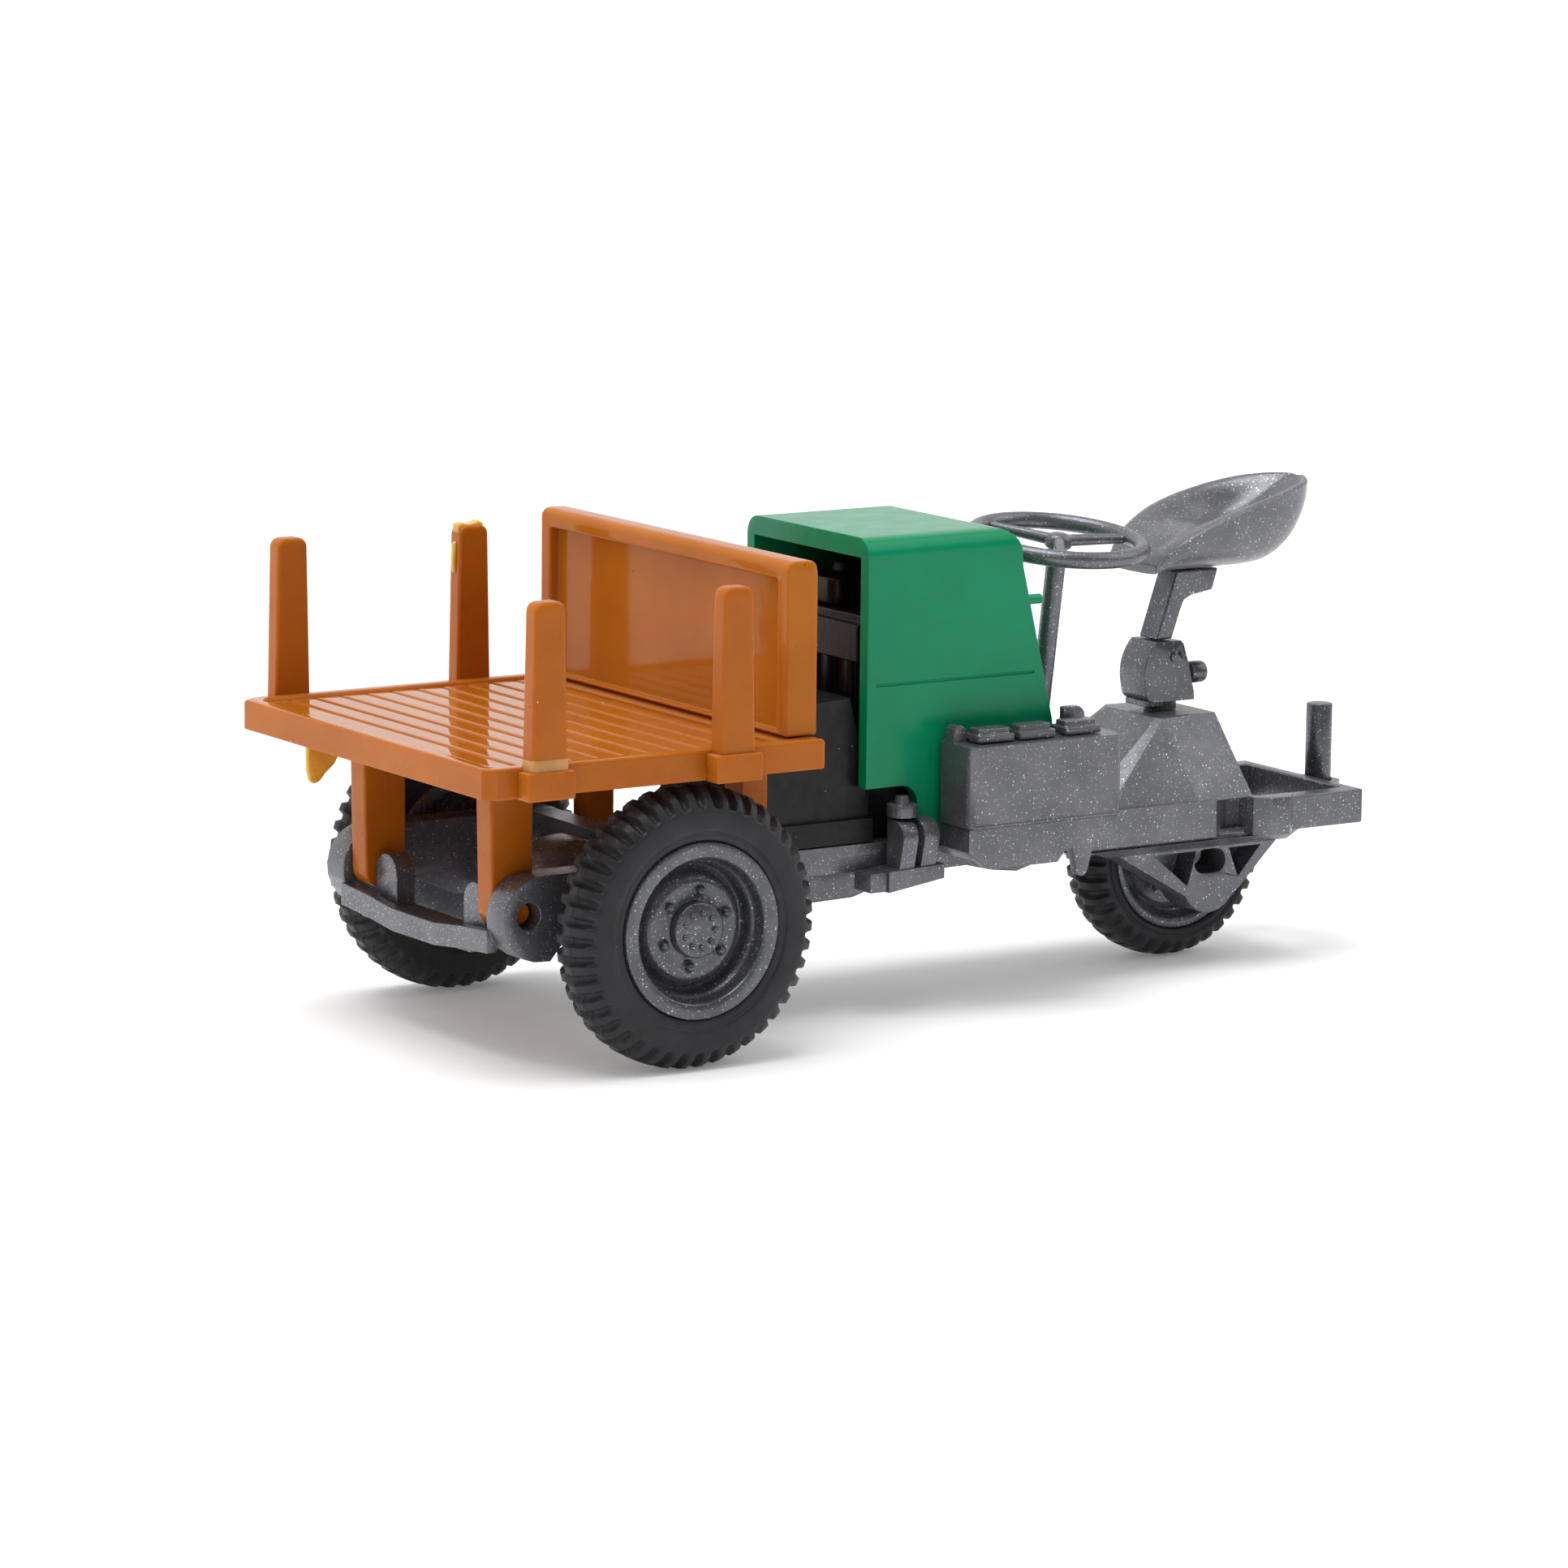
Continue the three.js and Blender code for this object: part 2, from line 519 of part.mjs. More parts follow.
function rearHousing() {
  const { base, low, plateau, halfWidth, x0, x1 } = housing;
  const cone = loft(
    mirrorPlan([[18.3, -2.4], [19.0, -3.0], [22.5, -halfWidth + 0.06], [x1 - 0.05, -halfWidth + 0.06]]),
    base - 0.05,
    mirrorPlan([[21.95, -1.2], [22.0, -1.5], [22.12, -1.68], [24.42, -1.45]]), plateau);
  const skirt = upright(mirrorPlan([
    [x0, -halfWidth], [23.2, -halfWidth], [24.0, -2.75], [24.5, -2.75], [24.5, -3.6],
    [24.95, -4.05], [25.7, -4.05], [26.1, -3.65], [26.1, -halfWidth - gap], [x1, -halfWidth - gap],
  ]), low, base);
  const rearCut = box(x1, 27, -halfWidth - gap, halfWidth + gap, low - 0.02, base + 1);
  const lowerPlate = loft(
    mirrorPlan([[19.2, -2.7], [26.6, -2.7], [27.35, -1.9]]), low - 0.45,
    mirrorPlan([[x0 + 0.4, -halfWidth], [25.8, -halfWidth], [27.6, -2.4]]), low - 0.1);
  const bridge = box(x0, x1 - 0.1, -halfWidth + 0.2, halfWidth - 0.2, low - 0.2, low + 0.2);
  const socket = pinZ(18.79, 0.99, 0.62, 0.62, base - 0.1, base + 0.5);
  const arch = pinY(rear.x, rear.radius, wheelArch.radius,
    -wheelArch.halfWidth, wheelArch.halfWidth, roundSteps);
  const forks = bothSides(forkPlate());
  return cut(join(cut(skirt, rearCut), cone, lowerPlate, bridge, forks, socket), arch, columnHole());
}

function towFrame() {
  const { x0, x1, outerY, innerY, low, top } = tow;
  return cut(
    box(x0, x1, -outerY, outerY, low, top),
    box(x0 - 1, x1 - 0.42, -innerY, innerY, low - 1, top + 1));
}

const hitchPlate = () => cut(
  upright([
    [tow.x1 + gap, -2.9], [hitchPin.x + 0.2, -0.75], [hitchEnd, -0.4], [hitchEnd, 0.4],
    [hitchPin.x + 0.2, 0.75], [tow.x1 + gap, 2.9],
  ], 4.85, 5.4),
  pinZ(hitchPin.x, 0, hitchPin.radius + gap, hitchPin.radius + gap, 5.1, 6));

const towPin = () => pinZ(hitchPin.x, 0, hitchPin.radius, hitchPin.radius, 5.12, hitchPin.top);

// ---- seat and steering ----------------------------------------------------------------------
function seatClamp() {
  const foot = housing.plateau + gap;
  const body = sideways([
    ...arc(22.45, 9.05, 0.35, 270, 190, 4), ...arc(23.6, 9.6, 1.58, 186, 141, 8), [22.5, 10.74],
    [23.5, 10.74], [23.62, 10.62], [23.82, 10.0], [24.1, 8.9], [24.1, 8.7],
  ], -0.72, 0.72);
  const neck = pinZ(23.2, 0, 0.55, 0.55, foot, 8.8);
  const boss = pinX(0, 9.5, 0.31, 23.5, 24.0, 16);
  const strap = join(
    pinY(23.2, 10.2, 0.16, -0.82, 0.82, 12),
    box(22.2, 22.9, -0.6, 0.6, 8.55, 8.75));
  return join(body, neck, boss, strap);
}

const clampBolt = () => join(
  pinX(0, 9.5, 0.25, 24.04, 24.4, 16),
  pinX(0, 9.5, 0.37, 24.3, 24.97, 16));

const seatPost = () => sideways([
  [22.64, 10.78], [23.28, 10.78], [23.6, 11.7], [23.76, 12.06], [24.06, 12.2], [24.92, 12.33],
  [25.14, 13.06], [23.42, 13.06],
], -0.52, 0.52);

// Rows along the seat pan: place along the vehicle, half-width, then the heights of the
// rim, of the middle of the upper face and of the keel.
const seatRows = [
  [21.9, 1.42, 13.42, 13.42, 13.1], [22.15, 1.55, 13.62, 13.6, 13.1],
  [22.6, 1.78, 14.12, 13.95, 13.1], [23.3, 2.02, 14.55, 14.38, 13.1],
  [24.1, 2.2, 14.92, 14.6, 13.1], [25.0, 2.28, 15.22, 14.52, 13.1],
  [26.0, 2.24, 15.48, 14.5, 13.11], [26.8, 2.08, 15.66, 14.72, 13.22],
  [27.5, 1.8, 15.8, 15.1, 13.58], [28.0, 1.46, 15.88, 15.44, 14.1],
  [28.4, 1.05, 15.93, 15.72, 14.75], [28.66, 0.6, 15.95, 15.88, 15.35],
  [28.75, 0.3, 15.95, 15.93, 15.6],
];
const seatLip = 0.25;             // depth of the pan's edge

// A rim rolls into a dish above, and a rounded hull hangs below.
function seatPan() {
  const across = 14;
  const upper = [];
  const lower = [];
  for (const [x, half, rim, middle, keel] of seatRows) {
    for (let j = 0; j <= across; j++) {
      const s = Math.sin(Math.PI * (j / across - 0.5));
      const edge = Math.abs(s);
      const dish = THREE.MathUtils.smoothstep(edge, 0.3, 0.85);
      const hull = 1 - Math.sqrt(1 - edge ** 2.5);
      upper.push([x, half * s, THREE.MathUtils.lerp(middle, rim, dish)]);
      lower.push([x, half * s * 0.98, THREE.MathUtils.lerp(keel, rim - seatLip, hull)]);
    }
  }
  const grid = [...upper, ...lower];
  const along = seatRows.length - 1;
  const row = across + 1;
  const layer = upper.length;
  const triangles = [];
  const quad = (a, b, c, d) => triangles.push(a, b, c, a, c, d);
  for (let i = 0; i < along; i++) {
    for (let j = 0; j < across; j++) {
      const a = i * row + j;
      quad(a, a + row, a + row + 1, a + 1);
      quad(layer + a, layer + a + 1, layer + a + row + 1, layer + a + row);
    }
    const left = i * row;
    const right = left + across;
    quad(left, layer + left, layer + left + row, left + row);
    quad(right, right + row, layer + right + row, layer + right);
  }
  for (let j = 0; j < across; j++) {
    const last = along * row + j;
    quad(j, j + 1, layer + j + 1, layer + j);
    quad(last, layer + last, layer + last + 1, last + 1);
  }
  const geometry = new THREE.BufferGeometry();
  const positions = triangles.flatMap((corner) => grid[corner]);
  geometry.setAttribute('position', new THREE.Float32BufferAttribute(positions, 3));
  return toSolid(geometry);
}

// The column leans back and to the left, and the wheel is square to it.
const steeringPlace = new THREE.Matrix4().compose(
  new THREE.Vector3(steering.x, 0, steering.z),
  new THREE.Quaternion().setFromEuler(new THREE.Euler(
    THREE.MathUtils.degToRad(steering.leanY), THREE.MathUtils.degToRad(steering.leanX), 0)),
  new THREE.Vector3(1, 1, 1));

function atSteering(geometry) {
  return toSolid(geometry.applyMatrix4(steeringPlace));
}

function alongColumn(radius, top, bottom, steps = holeSteps) {
  const geometry = new THREE.CylinderGeometry(radius, radius, top - bottom, steps);
  return atSteering(geometry.rotateX(Math.PI / 2).translate(0, 0, (top + bottom) / 2));
}

const columnHole = () => alongColumn(column.holeRadius, -column.length + 2, -column.length - gap);
const steeringColumn = () => alongColumn(column.radius, -0.3, -column.length);

function steeringWheel() {
  const { ringRadius, tube, hub } = steering;
  const ring = atSteering(new THREE.TorusGeometry(ringRadius, tube, 8, 40));
  const spokes = spokeAngles.map((angle) => atSteering(
    new THREE.CylinderGeometry(0.17, 0.17, ringRadius, 8)
      .rotateZ(Math.PI / 2).translate(ringRadius / 2, 0, -0.02)
      .rotateZ(THREE.MathUtils.degToRad(angle))));
  return join(ring, alongColumn(hub, 0.16, -0.26), ...spokes);
}

// ---- assembly ---------------------------------------------------------------------------------
const finishes = {
  frameGrey: { color: 0x5b5e63, roughness: 0.5, metalness: 0.4 },
  engineBlack: { color: 0x1f2022, roughness: 0.55, metalness: 0.1 },
  bedOrange: { color: 0xb4622a, roughness: 0.35, metalness: 0 },
  hoodGreen: { color: 0x0d6b40, roughness: 0.35, metalness: 0 },
  tyreBlack: { color: 0x24262b, roughness: 0.85, metalness: 0 },
  steel: { color: 0xb8babd, roughness: 0.3, metalness: 1 },
};

const model = new THREE.Group();
const overall = new THREE.Group();
overall.position.x = -(bedFront + hitchEnd) / 2;
overall.add(model);

function add(name, solid, finish) {
  const mesh = new THREE.Mesh(toGeometry(solid), new THREE.MeshStandardMaterial(finishes[finish]));
  mesh.name = name;
  model.add(mesh);
}

add('chassis_frame', chassisFrame(), 'frameGrey');
add('tipping_frame', tippingFrame(), 'frameGrey');
add('drive_housing', driveHousing(), 'frameGrey');
add('torque_tube', torqueTube(), 'frameGrey');
add('oil_sump', sump(), 'frameGrey');
add('gearbox', gearbox(), 'engineBlack');
add('engine_block', engineBlock(), 'engineBlack');
add('cylinder_head', cylinderHead(), 'engineBlack');
add('engine_hood', engineHood(), 'hoodGreen');
add('battery_box', batteryBox(), 'frameGrey');
capX.forEach((x, i) => add(`battery_cap_${i + 1}`, batteryCap(x), 'frameGrey'));
add('battery_terminal', terminalLug(), 'frameGrey');
add('reservoir_bracket', reservoirBracket(), 'frameGrey');
add('fluid_reservoir', reservoir(), 'frameGrey');
add('rear_housing', rearHousing(), 'frameGrey');
add('tow_frame', towFrame(), 'frameGrey');
add('hitch_plate', hitchPlate(), 'frameGrey');
add('hitch_pin', towPin(), 'frameGrey');
add('seat_clamp', seatClamp(), 'frameGrey');
add('seat_clamp_bolt', clampBolt(), 'frameGrey');
add('seat_post', seatPost(), 'frameGrey');
add('seat_pan', seatPan(), 'frameGrey');
add('steering_column', steeringColumn(), 'frameGrey');
add('steering_wheel', steeringWheel(), 'frameGrey');
add('front_axle', frontAxle(), 'steel');
add('front_rim_left', frontRim(), 'frameGrey');
add('front_rim_right', mirrorY(frontRim()), 'frameGrey');
add('front_tyre_left', frontTyre(), 'tyreBlack');
add('front_tyre_right', mirrorY(frontTyre()), 'tyreBlack');
add('rear_axle', rearAxle(), 'steel');
add('rear_rim', rearRim(), 'frameGrey');
add('rear_tyre', rearTyre(), 'tyreBlack');
add('cargo_bed', cargoBed(), 'bedOrange');
add('headboard', headboardPanel(), 'bedOrange');
for (const [place, x] of Object.entries(stakeX)) {
  add(`stake_${place}_left`, stakeBlade(x), 'bedOrange');
  add(`stake_${place}_right`, mirrorY(stakeBlade(x)), 'bedOrange');
}

export default overall;
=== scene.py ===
"""The looks of a small plastic model of a three-wheeled site truck with a tipping stake bed.

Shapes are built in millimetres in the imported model's own frame (+X towards the driver's end,
-Y the vehicle's left side, +Z up) and scaled to metres when they become objects.
"""
import json
import math

import bmesh
import bpy
from mathutils import Matrix, Vector
from mathutils.bvhtree import BVHTree


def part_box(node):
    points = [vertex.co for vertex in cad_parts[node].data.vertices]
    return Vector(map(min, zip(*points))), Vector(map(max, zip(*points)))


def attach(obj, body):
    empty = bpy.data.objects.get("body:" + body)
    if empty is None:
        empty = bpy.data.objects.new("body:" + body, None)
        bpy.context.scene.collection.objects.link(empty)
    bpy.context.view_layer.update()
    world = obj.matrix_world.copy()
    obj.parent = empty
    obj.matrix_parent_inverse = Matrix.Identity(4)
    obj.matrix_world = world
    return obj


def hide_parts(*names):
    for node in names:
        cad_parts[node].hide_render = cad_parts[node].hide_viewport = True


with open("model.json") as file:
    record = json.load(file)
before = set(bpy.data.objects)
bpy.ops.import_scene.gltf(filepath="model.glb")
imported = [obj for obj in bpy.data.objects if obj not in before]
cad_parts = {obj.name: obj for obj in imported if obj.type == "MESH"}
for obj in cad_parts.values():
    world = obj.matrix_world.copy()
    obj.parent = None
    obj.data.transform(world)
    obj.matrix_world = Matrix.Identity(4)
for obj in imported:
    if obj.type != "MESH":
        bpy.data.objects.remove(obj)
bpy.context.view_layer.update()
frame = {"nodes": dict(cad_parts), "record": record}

MM = 0.001
FULL_TURN = 2 * math.pi


# ---- the frame's places, in millimetres ------------------------------------------
class Span:
    """Where a CAD node lies: its lowest and highest corners, middle and size."""

    def __init__(self, node):
        low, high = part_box(node)
        self.low = low / MM
        self.high = high / MM
        self.mid = (self.low + self.high) / 2
        self.size = self.high - self.low


# ---- materials ---------------------------------------------------------------------
MIX_FIRST, MIX_SECOND, MIX_RESULT = 6, 7, 2       # the colour sockets of a Mix node


class Shader:
    """A principled material with its nodes placed by short calls; lengths are in millimetres."""

    def __init__(self, name, **sockets):
        self.material = bpy.data.materials.new(name)
        self.material.use_nodes = True
        self.tree = self.material.node_tree
        self.bsdf = self.tree.nodes["Principled BSDF"]
        for socket, value in sockets.items():
            self.bsdf.inputs[socket.replace("_", " ")].default_value = value
        place = self.tree.nodes.new("ShaderNodeTexCoord")
        scale = self.tree.nodes.new("ShaderNodeVectorMath")
        scale.operation = "SCALE"
        scale.inputs["Scale"].default_value = 1 / MM
        self.link(place.outputs["Object"], scale.inputs[0])
        self.place = scale.outputs[0]

    def link(self, source, target):
        self.tree.links.new(source, target)

    def node(self, kind, **values):
        made = self.tree.nodes.new("ShaderNode" + kind)
        for name, value in values.items():
            if hasattr(made, name):
                setattr(made, name, value)
            else:
                made.inputs[name.replace("_", " ")].default_value = value
        return made

    def noise(self, per_mm, detail=2.0, stretch=None):
        """Soft noise; stretch scales the place it reads along X, Y and Z."""
        made = self.node("TexNoise", Scale=per_mm, Detail=detail)
        source = self.place
        if stretch:
            stretched = self.node("VectorMath", operation="MULTIPLY")
            stretched.inputs[1].default_value = stretch
            self.link(self.place, stretched.inputs[0])
            source = stretched.outputs[0]
        self.link(source, made.inputs["Vector"])
        return made.outputs["Fac"]

    def spread(self, source, low, high, out_low=0.0, out_high=1.0):
        """Maps low..high of a value onto out_low..out_high."""
        made = self.node("MapRange")
        for name, value in (("From Min", low), ("From Max", high),
                            ("To Min", out_low), ("To Max", out_high)):
            made.inputs[name].default_value = value
        self.link(source, made.inputs["Value"])
        return made.outputs["Result"]

    def math(self, operation, first, second):
        made = self.node("Math", operation=operation)
        for socket, value in zip(made.inputs, (first, second)):
            if isinstance(value, float):
                socket.default_value = value
            else:
                self.link(value, socket)
        return made.outputs[0]

    def mix(self, factor, first, second):
        """Colours from first to second; each is a colour or another node's output."""
        made = self.node("Mix", data_type="RGBA")
        self.link(factor, made.inputs["Factor"])
        for index, value in ((MIX_FIRST, first), (MIX_SECOND, second)):
            if isinstance(value, tuple):
                made.inputs[index].default_value = (*value, 1)
            else:
                self.link(value, made.inputs[index])
        return made.outputs[MIX_RESULT]

    def specks(self, per_mm, radius, share):
        """Round specks: radius is a share of a cell, and share is how many cells hold one."""
        cells = self.node("TexVoronoi", Scale=per_mm)
        self.link(self.place, cells.inputs["Vector"])
        near = self.spread(cells.outputs["Distance"], radius * 0.6, radius, 1.0, 0.0)
        split = self.node("SeparateColor")
        self.link(cells.outputs["Color"], split.inputs[0])
        chosen = self.math("LESS_THAN", split.outputs[0], share)
        return self.math("MULTIPLY", near, chosen)

    def bump(self, height, depth_mm, strength=0.5):
        made = self.node("Bump", Strength=strength, Distance=depth_mm * MM)
        self.link(height, made.inputs["Height"])
        self.link(made.outputs["Normal"], self.bsdf.inputs["Normal"])

    def set(self, socket, source):
        self.link(source, self.bsdf.inputs[socket])


DIM_FLECK, BRIGHT_FLECK = (0.31, 0.31, 0.32), (0.74, 0.74, 0.74)
FRAME_DARK, FRAME_LIGHT = (0.118, 0.120, 0.134), (0.148, 0.150, 0.166)
# A darker grey for the rims; on the seat clamp, seat post, clamp bolt and hitch pin it is painted
# shade, a darker copy of the frame grey.
RIM_AND_SHADED_DARK, RIM_AND_SHADED_LIGHT = (0.085, 0.087, 0.097), (0.114, 0.116, 0.128)
BLACK_DARK, BLACK_LIGHT = (0.004, 0.004, 0.0045), (0.010, 0.010, 0.011)
GREY_SPECK = (0.16, 0.16, 0.17)
BED_DARK, BED_LIGHT = (0.38, 0.100, 0.006), (0.44, 0.127, 0.010)
DECK_DARK, DECK_LIGHT = (0.40, 0.118, 0.010), (0.46, 0.146, 0.014)
PALE_DUST, DARK_DUST = (0.75, 0.62, 0.48), (0.05, 0.03, 0.02)
AMBER_DARK, AMBER_LIGHT = (0.62, 0.33, 0.045), (0.72, 0.45, 0.10)
TAN_DARK, TAN_LIGHT = (0.47, 0.20, 0.05), (0.54, 0.27, 0.085)
HOOD_DARK, HOOD_LIGHT = (0.001, 0.225, 0.095), (0.003, 0.255, 0.112)
TYRE_DARK, TYRE_LIGHT = (0.008, 0.0082, 0.0105), (0.015, 0.0153, 0.019)
TYRE_SPECK = (0.12, 0.12, 0.13)
STEEL_DARK, STEEL_LIGHT = (0.16, 0.16, 0.17), (0.34, 0.34, 0.35)


def fleck_plastic(name, dark, light, roughness):
    """Moulded plastic with fine bright metallic flecks over dimmer ones."""
    s = Shader(name, Metallic=0.6)
    cloud = s.spread(s.noise(0.7), 0.35, 0.65)
    base = s.mix(cloud, dark, light)
    dim = s.mix(s.specks(11.0, radius=0.32, share=0.46), base, DIM_FLECK)
    fine = s.specks(7.5, radius=0.20, share=0.34)
    coarse = s.specks(4.0, radius=0.11, share=0.14)
    s.set("Base Color", s.mix(s.math("MAXIMUM", fine, coarse), dim, BRIGHT_FLECK))
    grain = s.spread(s.noise(3.0, detail=4.0), 0.3, 0.7, roughness - 0.06, roughness + 0.08)
    s.set("Roughness", grain)
    s.bump(s.noise(9.0, detail=3.0), depth_mm=0.006)
    return s.material


def black_plastic(name):
    """Satin black plastic with a few grey specks."""
    s = Shader(name, Specular_IOR_Level=0.25)
    cloud = s.spread(s.noise(1.3, detail=3.0), 0.35, 0.7)
    base = s.mix(cloud, BLACK_DARK, BLACK_LIGHT)
    s.set("Base Color", s.mix(s.specks(4.0, radius=0.14, share=0.1), base, GREY_SPECK))
    s.set("Roughness", s.spread(s.noise(2.2, detail=4.0), 0.3, 0.7, 0.28, 0.45))
    s.bump(s.noise(5.0, detail=4.0), depth_mm=0.012)
    return s.material


def bed_plastic(name, dark, light, smoothest, roughest, shine):
    """Brown-orange plastic, a little translucent, with a few specks of dust."""
    s = Shader(
        name, Subsurface_Weight=0.35, Subsurface_Radius=(1.0, 0.45, 0.15),
        Subsurface_Scale=0.45 * MM, Specular_IOR_Level=shine)
    cloud = s.spread(s.noise(0.35), 0.3, 0.7)
    base = s.mix(cloud, dark, light)
    dust = s.mix(s.specks(1.3, radius=0.045, share=0.30), base, PALE_DUST)
    s.set("Base Color", s.mix(s.specks(0.9, radius=0.035, share=0.30), dust, DARK_DUST))
    s.set("Roughness", s.spread(s.noise(0.8, detail=4.0), 0.3, 0.7, smoothest, roughest))
    s.bump(s.noise(0.8), depth_mm=0.012)
    return s.material


def flash_plastic(name, dark, light):
    """Thin translucent flash left by moulding."""
    s = Shader(
        name, Subsurface_Weight=0.6, Subsurface_Radius=(1.0, 0.7, 0.2),
        Subsurface_Scale=0.8 * MM)
    cloud = s.spread(s.noise(1.6, detail=3.0), 0.35, 0.65)
    s.set("Base Color", s.mix(cloud, dark, light))
    s.set("Roughness", s.spread(s.noise(3.0), 0.3, 0.7, 0.25, 0.4))
    s.bump(s.noise(3.5, detail=3.0), depth_mm=0.02, strength=0.6)
    return s.material


def hood_plastic(name):
    """Plain green plastic with an even surface."""
    s = Shader(
        name, Subsurface_Weight=0.1, Subsurface_Radius=(0.2, 1.0, 0.5),
        Subsurface_Scale=0.2 * MM, Specular_IOR_Level=0.2)
    cloud = s.spread(s.noise(0.4), 0.3, 0.7)
    s.set("Base Color", s.mix(cloud, HOOD_DARK, HOOD_LIGHT))
    s.set("Roughness", s.spread(s.noise(1.1, detail=4.0), 0.3, 0.7, 0.19, 0.26))
    s.bump(s.noise(7.0), depth_mm=0.0025)
    return s.material


def tyre_rubber(name):
    """Dull black with a faint blue cast and a few grey specks."""
    s = Shader(name, Specular_IOR_Level=0.38, Sheen_Weight=0.05, Sheen_Roughness=0.5)
    cloud = s.spread(s.noise(0.9, detail=4.0), 0.3, 0.7)
    base = s.mix(cloud, TYRE_DARK, TYRE_LIGHT)
    s.set("Base Color", s.mix(s.specks(3.0, radius=0.1, share=0.1), base, TYRE_SPECK))
    s.set("Roughness", s.spread(s.noise(2.0, detail=4.0), 0.3, 0.7, 0.42, 0.6))
    s.bump(s.noise(7.0, detail=4.0), depth_mm=0.012)
    return s.material


def drawn_steel(name):
    """Steel with fine lines along Y, as drawing leaves them on a pin."""
    s = Shader(name, Metallic=1.0)
    lines = s.noise(6.0, detail=3.0, stretch=(1.0, 0.05, 1.0))
    s.set("Base Color", s.mix(s.spread(lines, 0.3, 0.7), STEEL_DARK, STEEL_LIGHT))
    s.set("Roughness", s.spread(lines, 0.3, 0.7, 0.2, 0.36))
    return s.material


GREY = fleck_plastic("frame_grey", FRAME_DARK, FRAME_LIGHT, roughness=0.32)
# Rims, and painted shade: this darker copy of the frame grey also stands on the seat clamp, seat
# post, clamp bolt and hitch pin.
RIM_AND_SHADED_GREY = fleck_plastic("rim_grey", RIM_AND_SHADED_DARK, RIM_AND_SHADED_LIGHT, roughness=0.28)
BLACK = black_plastic("engine_black")
GLOSSY = bed_plastic(
    "bed_orange_gloss", DECK_DARK, DECK_LIGHT, smoothest=0.025, roughest=0.06, shine=0.55)
BOARD = bed_plastic(
    "bed_orange_board", DECK_DARK, DECK_LIGHT, smoothest=0.04, roughest=0.10, shine=0.11)
ORANGE = bed_plastic(
    "bed_orange", BED_DARK, BED_LIGHT, smoothest=0.20, roughest=0.30, shine=0.15)
AMBER = flash_plastic("bed_flash", AMBER_DARK, AMBER_LIGHT)
TAN = flash_plastic("bed_flash_tan", TAN_DARK, TAN_LIGHT)
GREEN = hood_plastic("hood_green")
RUBBER = tyre_rubber("tyre_black")
STEEL = drawn_steel("axle_steel")


# ---- meshes ------------------------------------------------------------------------
SMOOTH_ANGLE = math.radians(38)       # edges sharper than this stay sharp
SEAT_ANGLE = math.radians(45)         # the same for the seat pan
ROUND_ANGLE = math.radians(50)        # the same for rims, bolts and the steering wheel
LUG_ANGLE = math.radians(60)          # the same for tyres
BLOB_ANGLE = math.radians(70)         # the same for bits of flash
FLAT_ANGLE = math.radians(0.4)        # CAD facets closer than this make one flat face
BEVEL_ANGLE = 28                      # degrees; edges sharper than this are rounded
WELD = 0.002                          # points closer than this are one
SHARES = (1.0, 0.7, 0.45, 0.25)       # shares of the rounding's width that are tried in turn
STRAY_LIMIT = 0.02                    # square millimetres of bad surface that may remain


def keep_flats_flat(piece):
    """Weights the normals by area, so that wide faces look flat beside their rounded edges."""
    weighted = piece.modifiers.new("weighted", "WEIGHTED_NORMAL")
    weighted.keep_sharp = True
    weighted.weight = 50
    graph = bpy.context.evaluated_depsgraph_get()
    shaded = bpy.data.meshes.new_from_object(piece.evaluated_get(graph))
    piece.modifiers.clear()
    plain = piece.data
    piece.data = shaded
    bpy.data.meshes.remove(plain)
    shaded.name = piece.name


def make(name, bm, material, body, stands_for=(), smooth=SMOOTH_ANGLE):
    """Turns a mesh in millimetres into a piece that rides on a body."""
    bmesh.ops.recalc_face_normals(bm, faces=bm.faces)
    mesh = bpy.data.meshes.new(name)
    bm.to_mesh(mesh)
    bm.free()
    mesh.transform(Matrix.Scale(MM, 4))
    mesh.shade_smooth()
    mesh.set_sharp_from_angle(angle=smooth)
    mesh.materials.append(material)
    piece = bpy.data.objects.new(name, mesh)
    bpy.context.scene.collection.objects.link(piece)
    keep_flats_flat(piece)
    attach(piece, body)
    if stands_for:
        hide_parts(*stands_for)
    return piece


def body_of_node(node):
    bodies = frame["record"]["behaviour"]["bodies"]
    return next(body for body, nodes in bodies.items() if node in nodes)


def joint_named(name):
    joints = frame["record"]["behaviour"]["joints"]
    return next(joint for joint in joints if joint["name"] == name)


def cad_copy(node):
    """A CAD node's mesh in millimetres, welded, with its flat faces whole."""
    bm = bmesh.new()
    bm.from_mesh(frame["nodes"][node].data)
    bmesh.ops.scale(bm, vec=(1 / MM,) * 3, verts=bm.verts)
    bmesh.ops.remove_doubles(bm, verts=bm.verts, dist=WELD)
    bmesh.ops.dissolve_degenerate(bm, dist=WELD, edges=bm.edges)
    bmesh.ops.dissolve_limit(bm, angle_limit=FLAT_ANGLE, verts=bm.verts, edges=bm.edges)
    return bm


def rounded(bm, width, segments, angle):
    """The mesh with its sharp edges rounded, through a bevel whose flat faces stay flat."""
    mesh = bpy.data.meshes.new("rounding")
    bm.to_mesh(mesh)
    mesh.shade_smooth()
    holder = bpy.data.objects.new("rounding", mesh)
    bpy.context.scene.collection.objects.link(holder)
    bevel = holder.modifiers.new("bevel", "BEVEL")
    bevel.width = width
    bevel.segments = segments
    bevel.limit_method = "ANGLE"
    bevel.angle_limit = math.radians(angle)
    bevel.use_clamp_overlap = False
    bevel.miter_outer = "MITER_ARC"
    graph = bpy.context.evaluated_depsgraph_get()
    result = bmesh.new()
    result.from_mesh(holder.evaluated_get(graph).to_mesh())
    bpy.data.objects.remove(holder)
    bpy.data.meshes.remove(mesh)
    return result


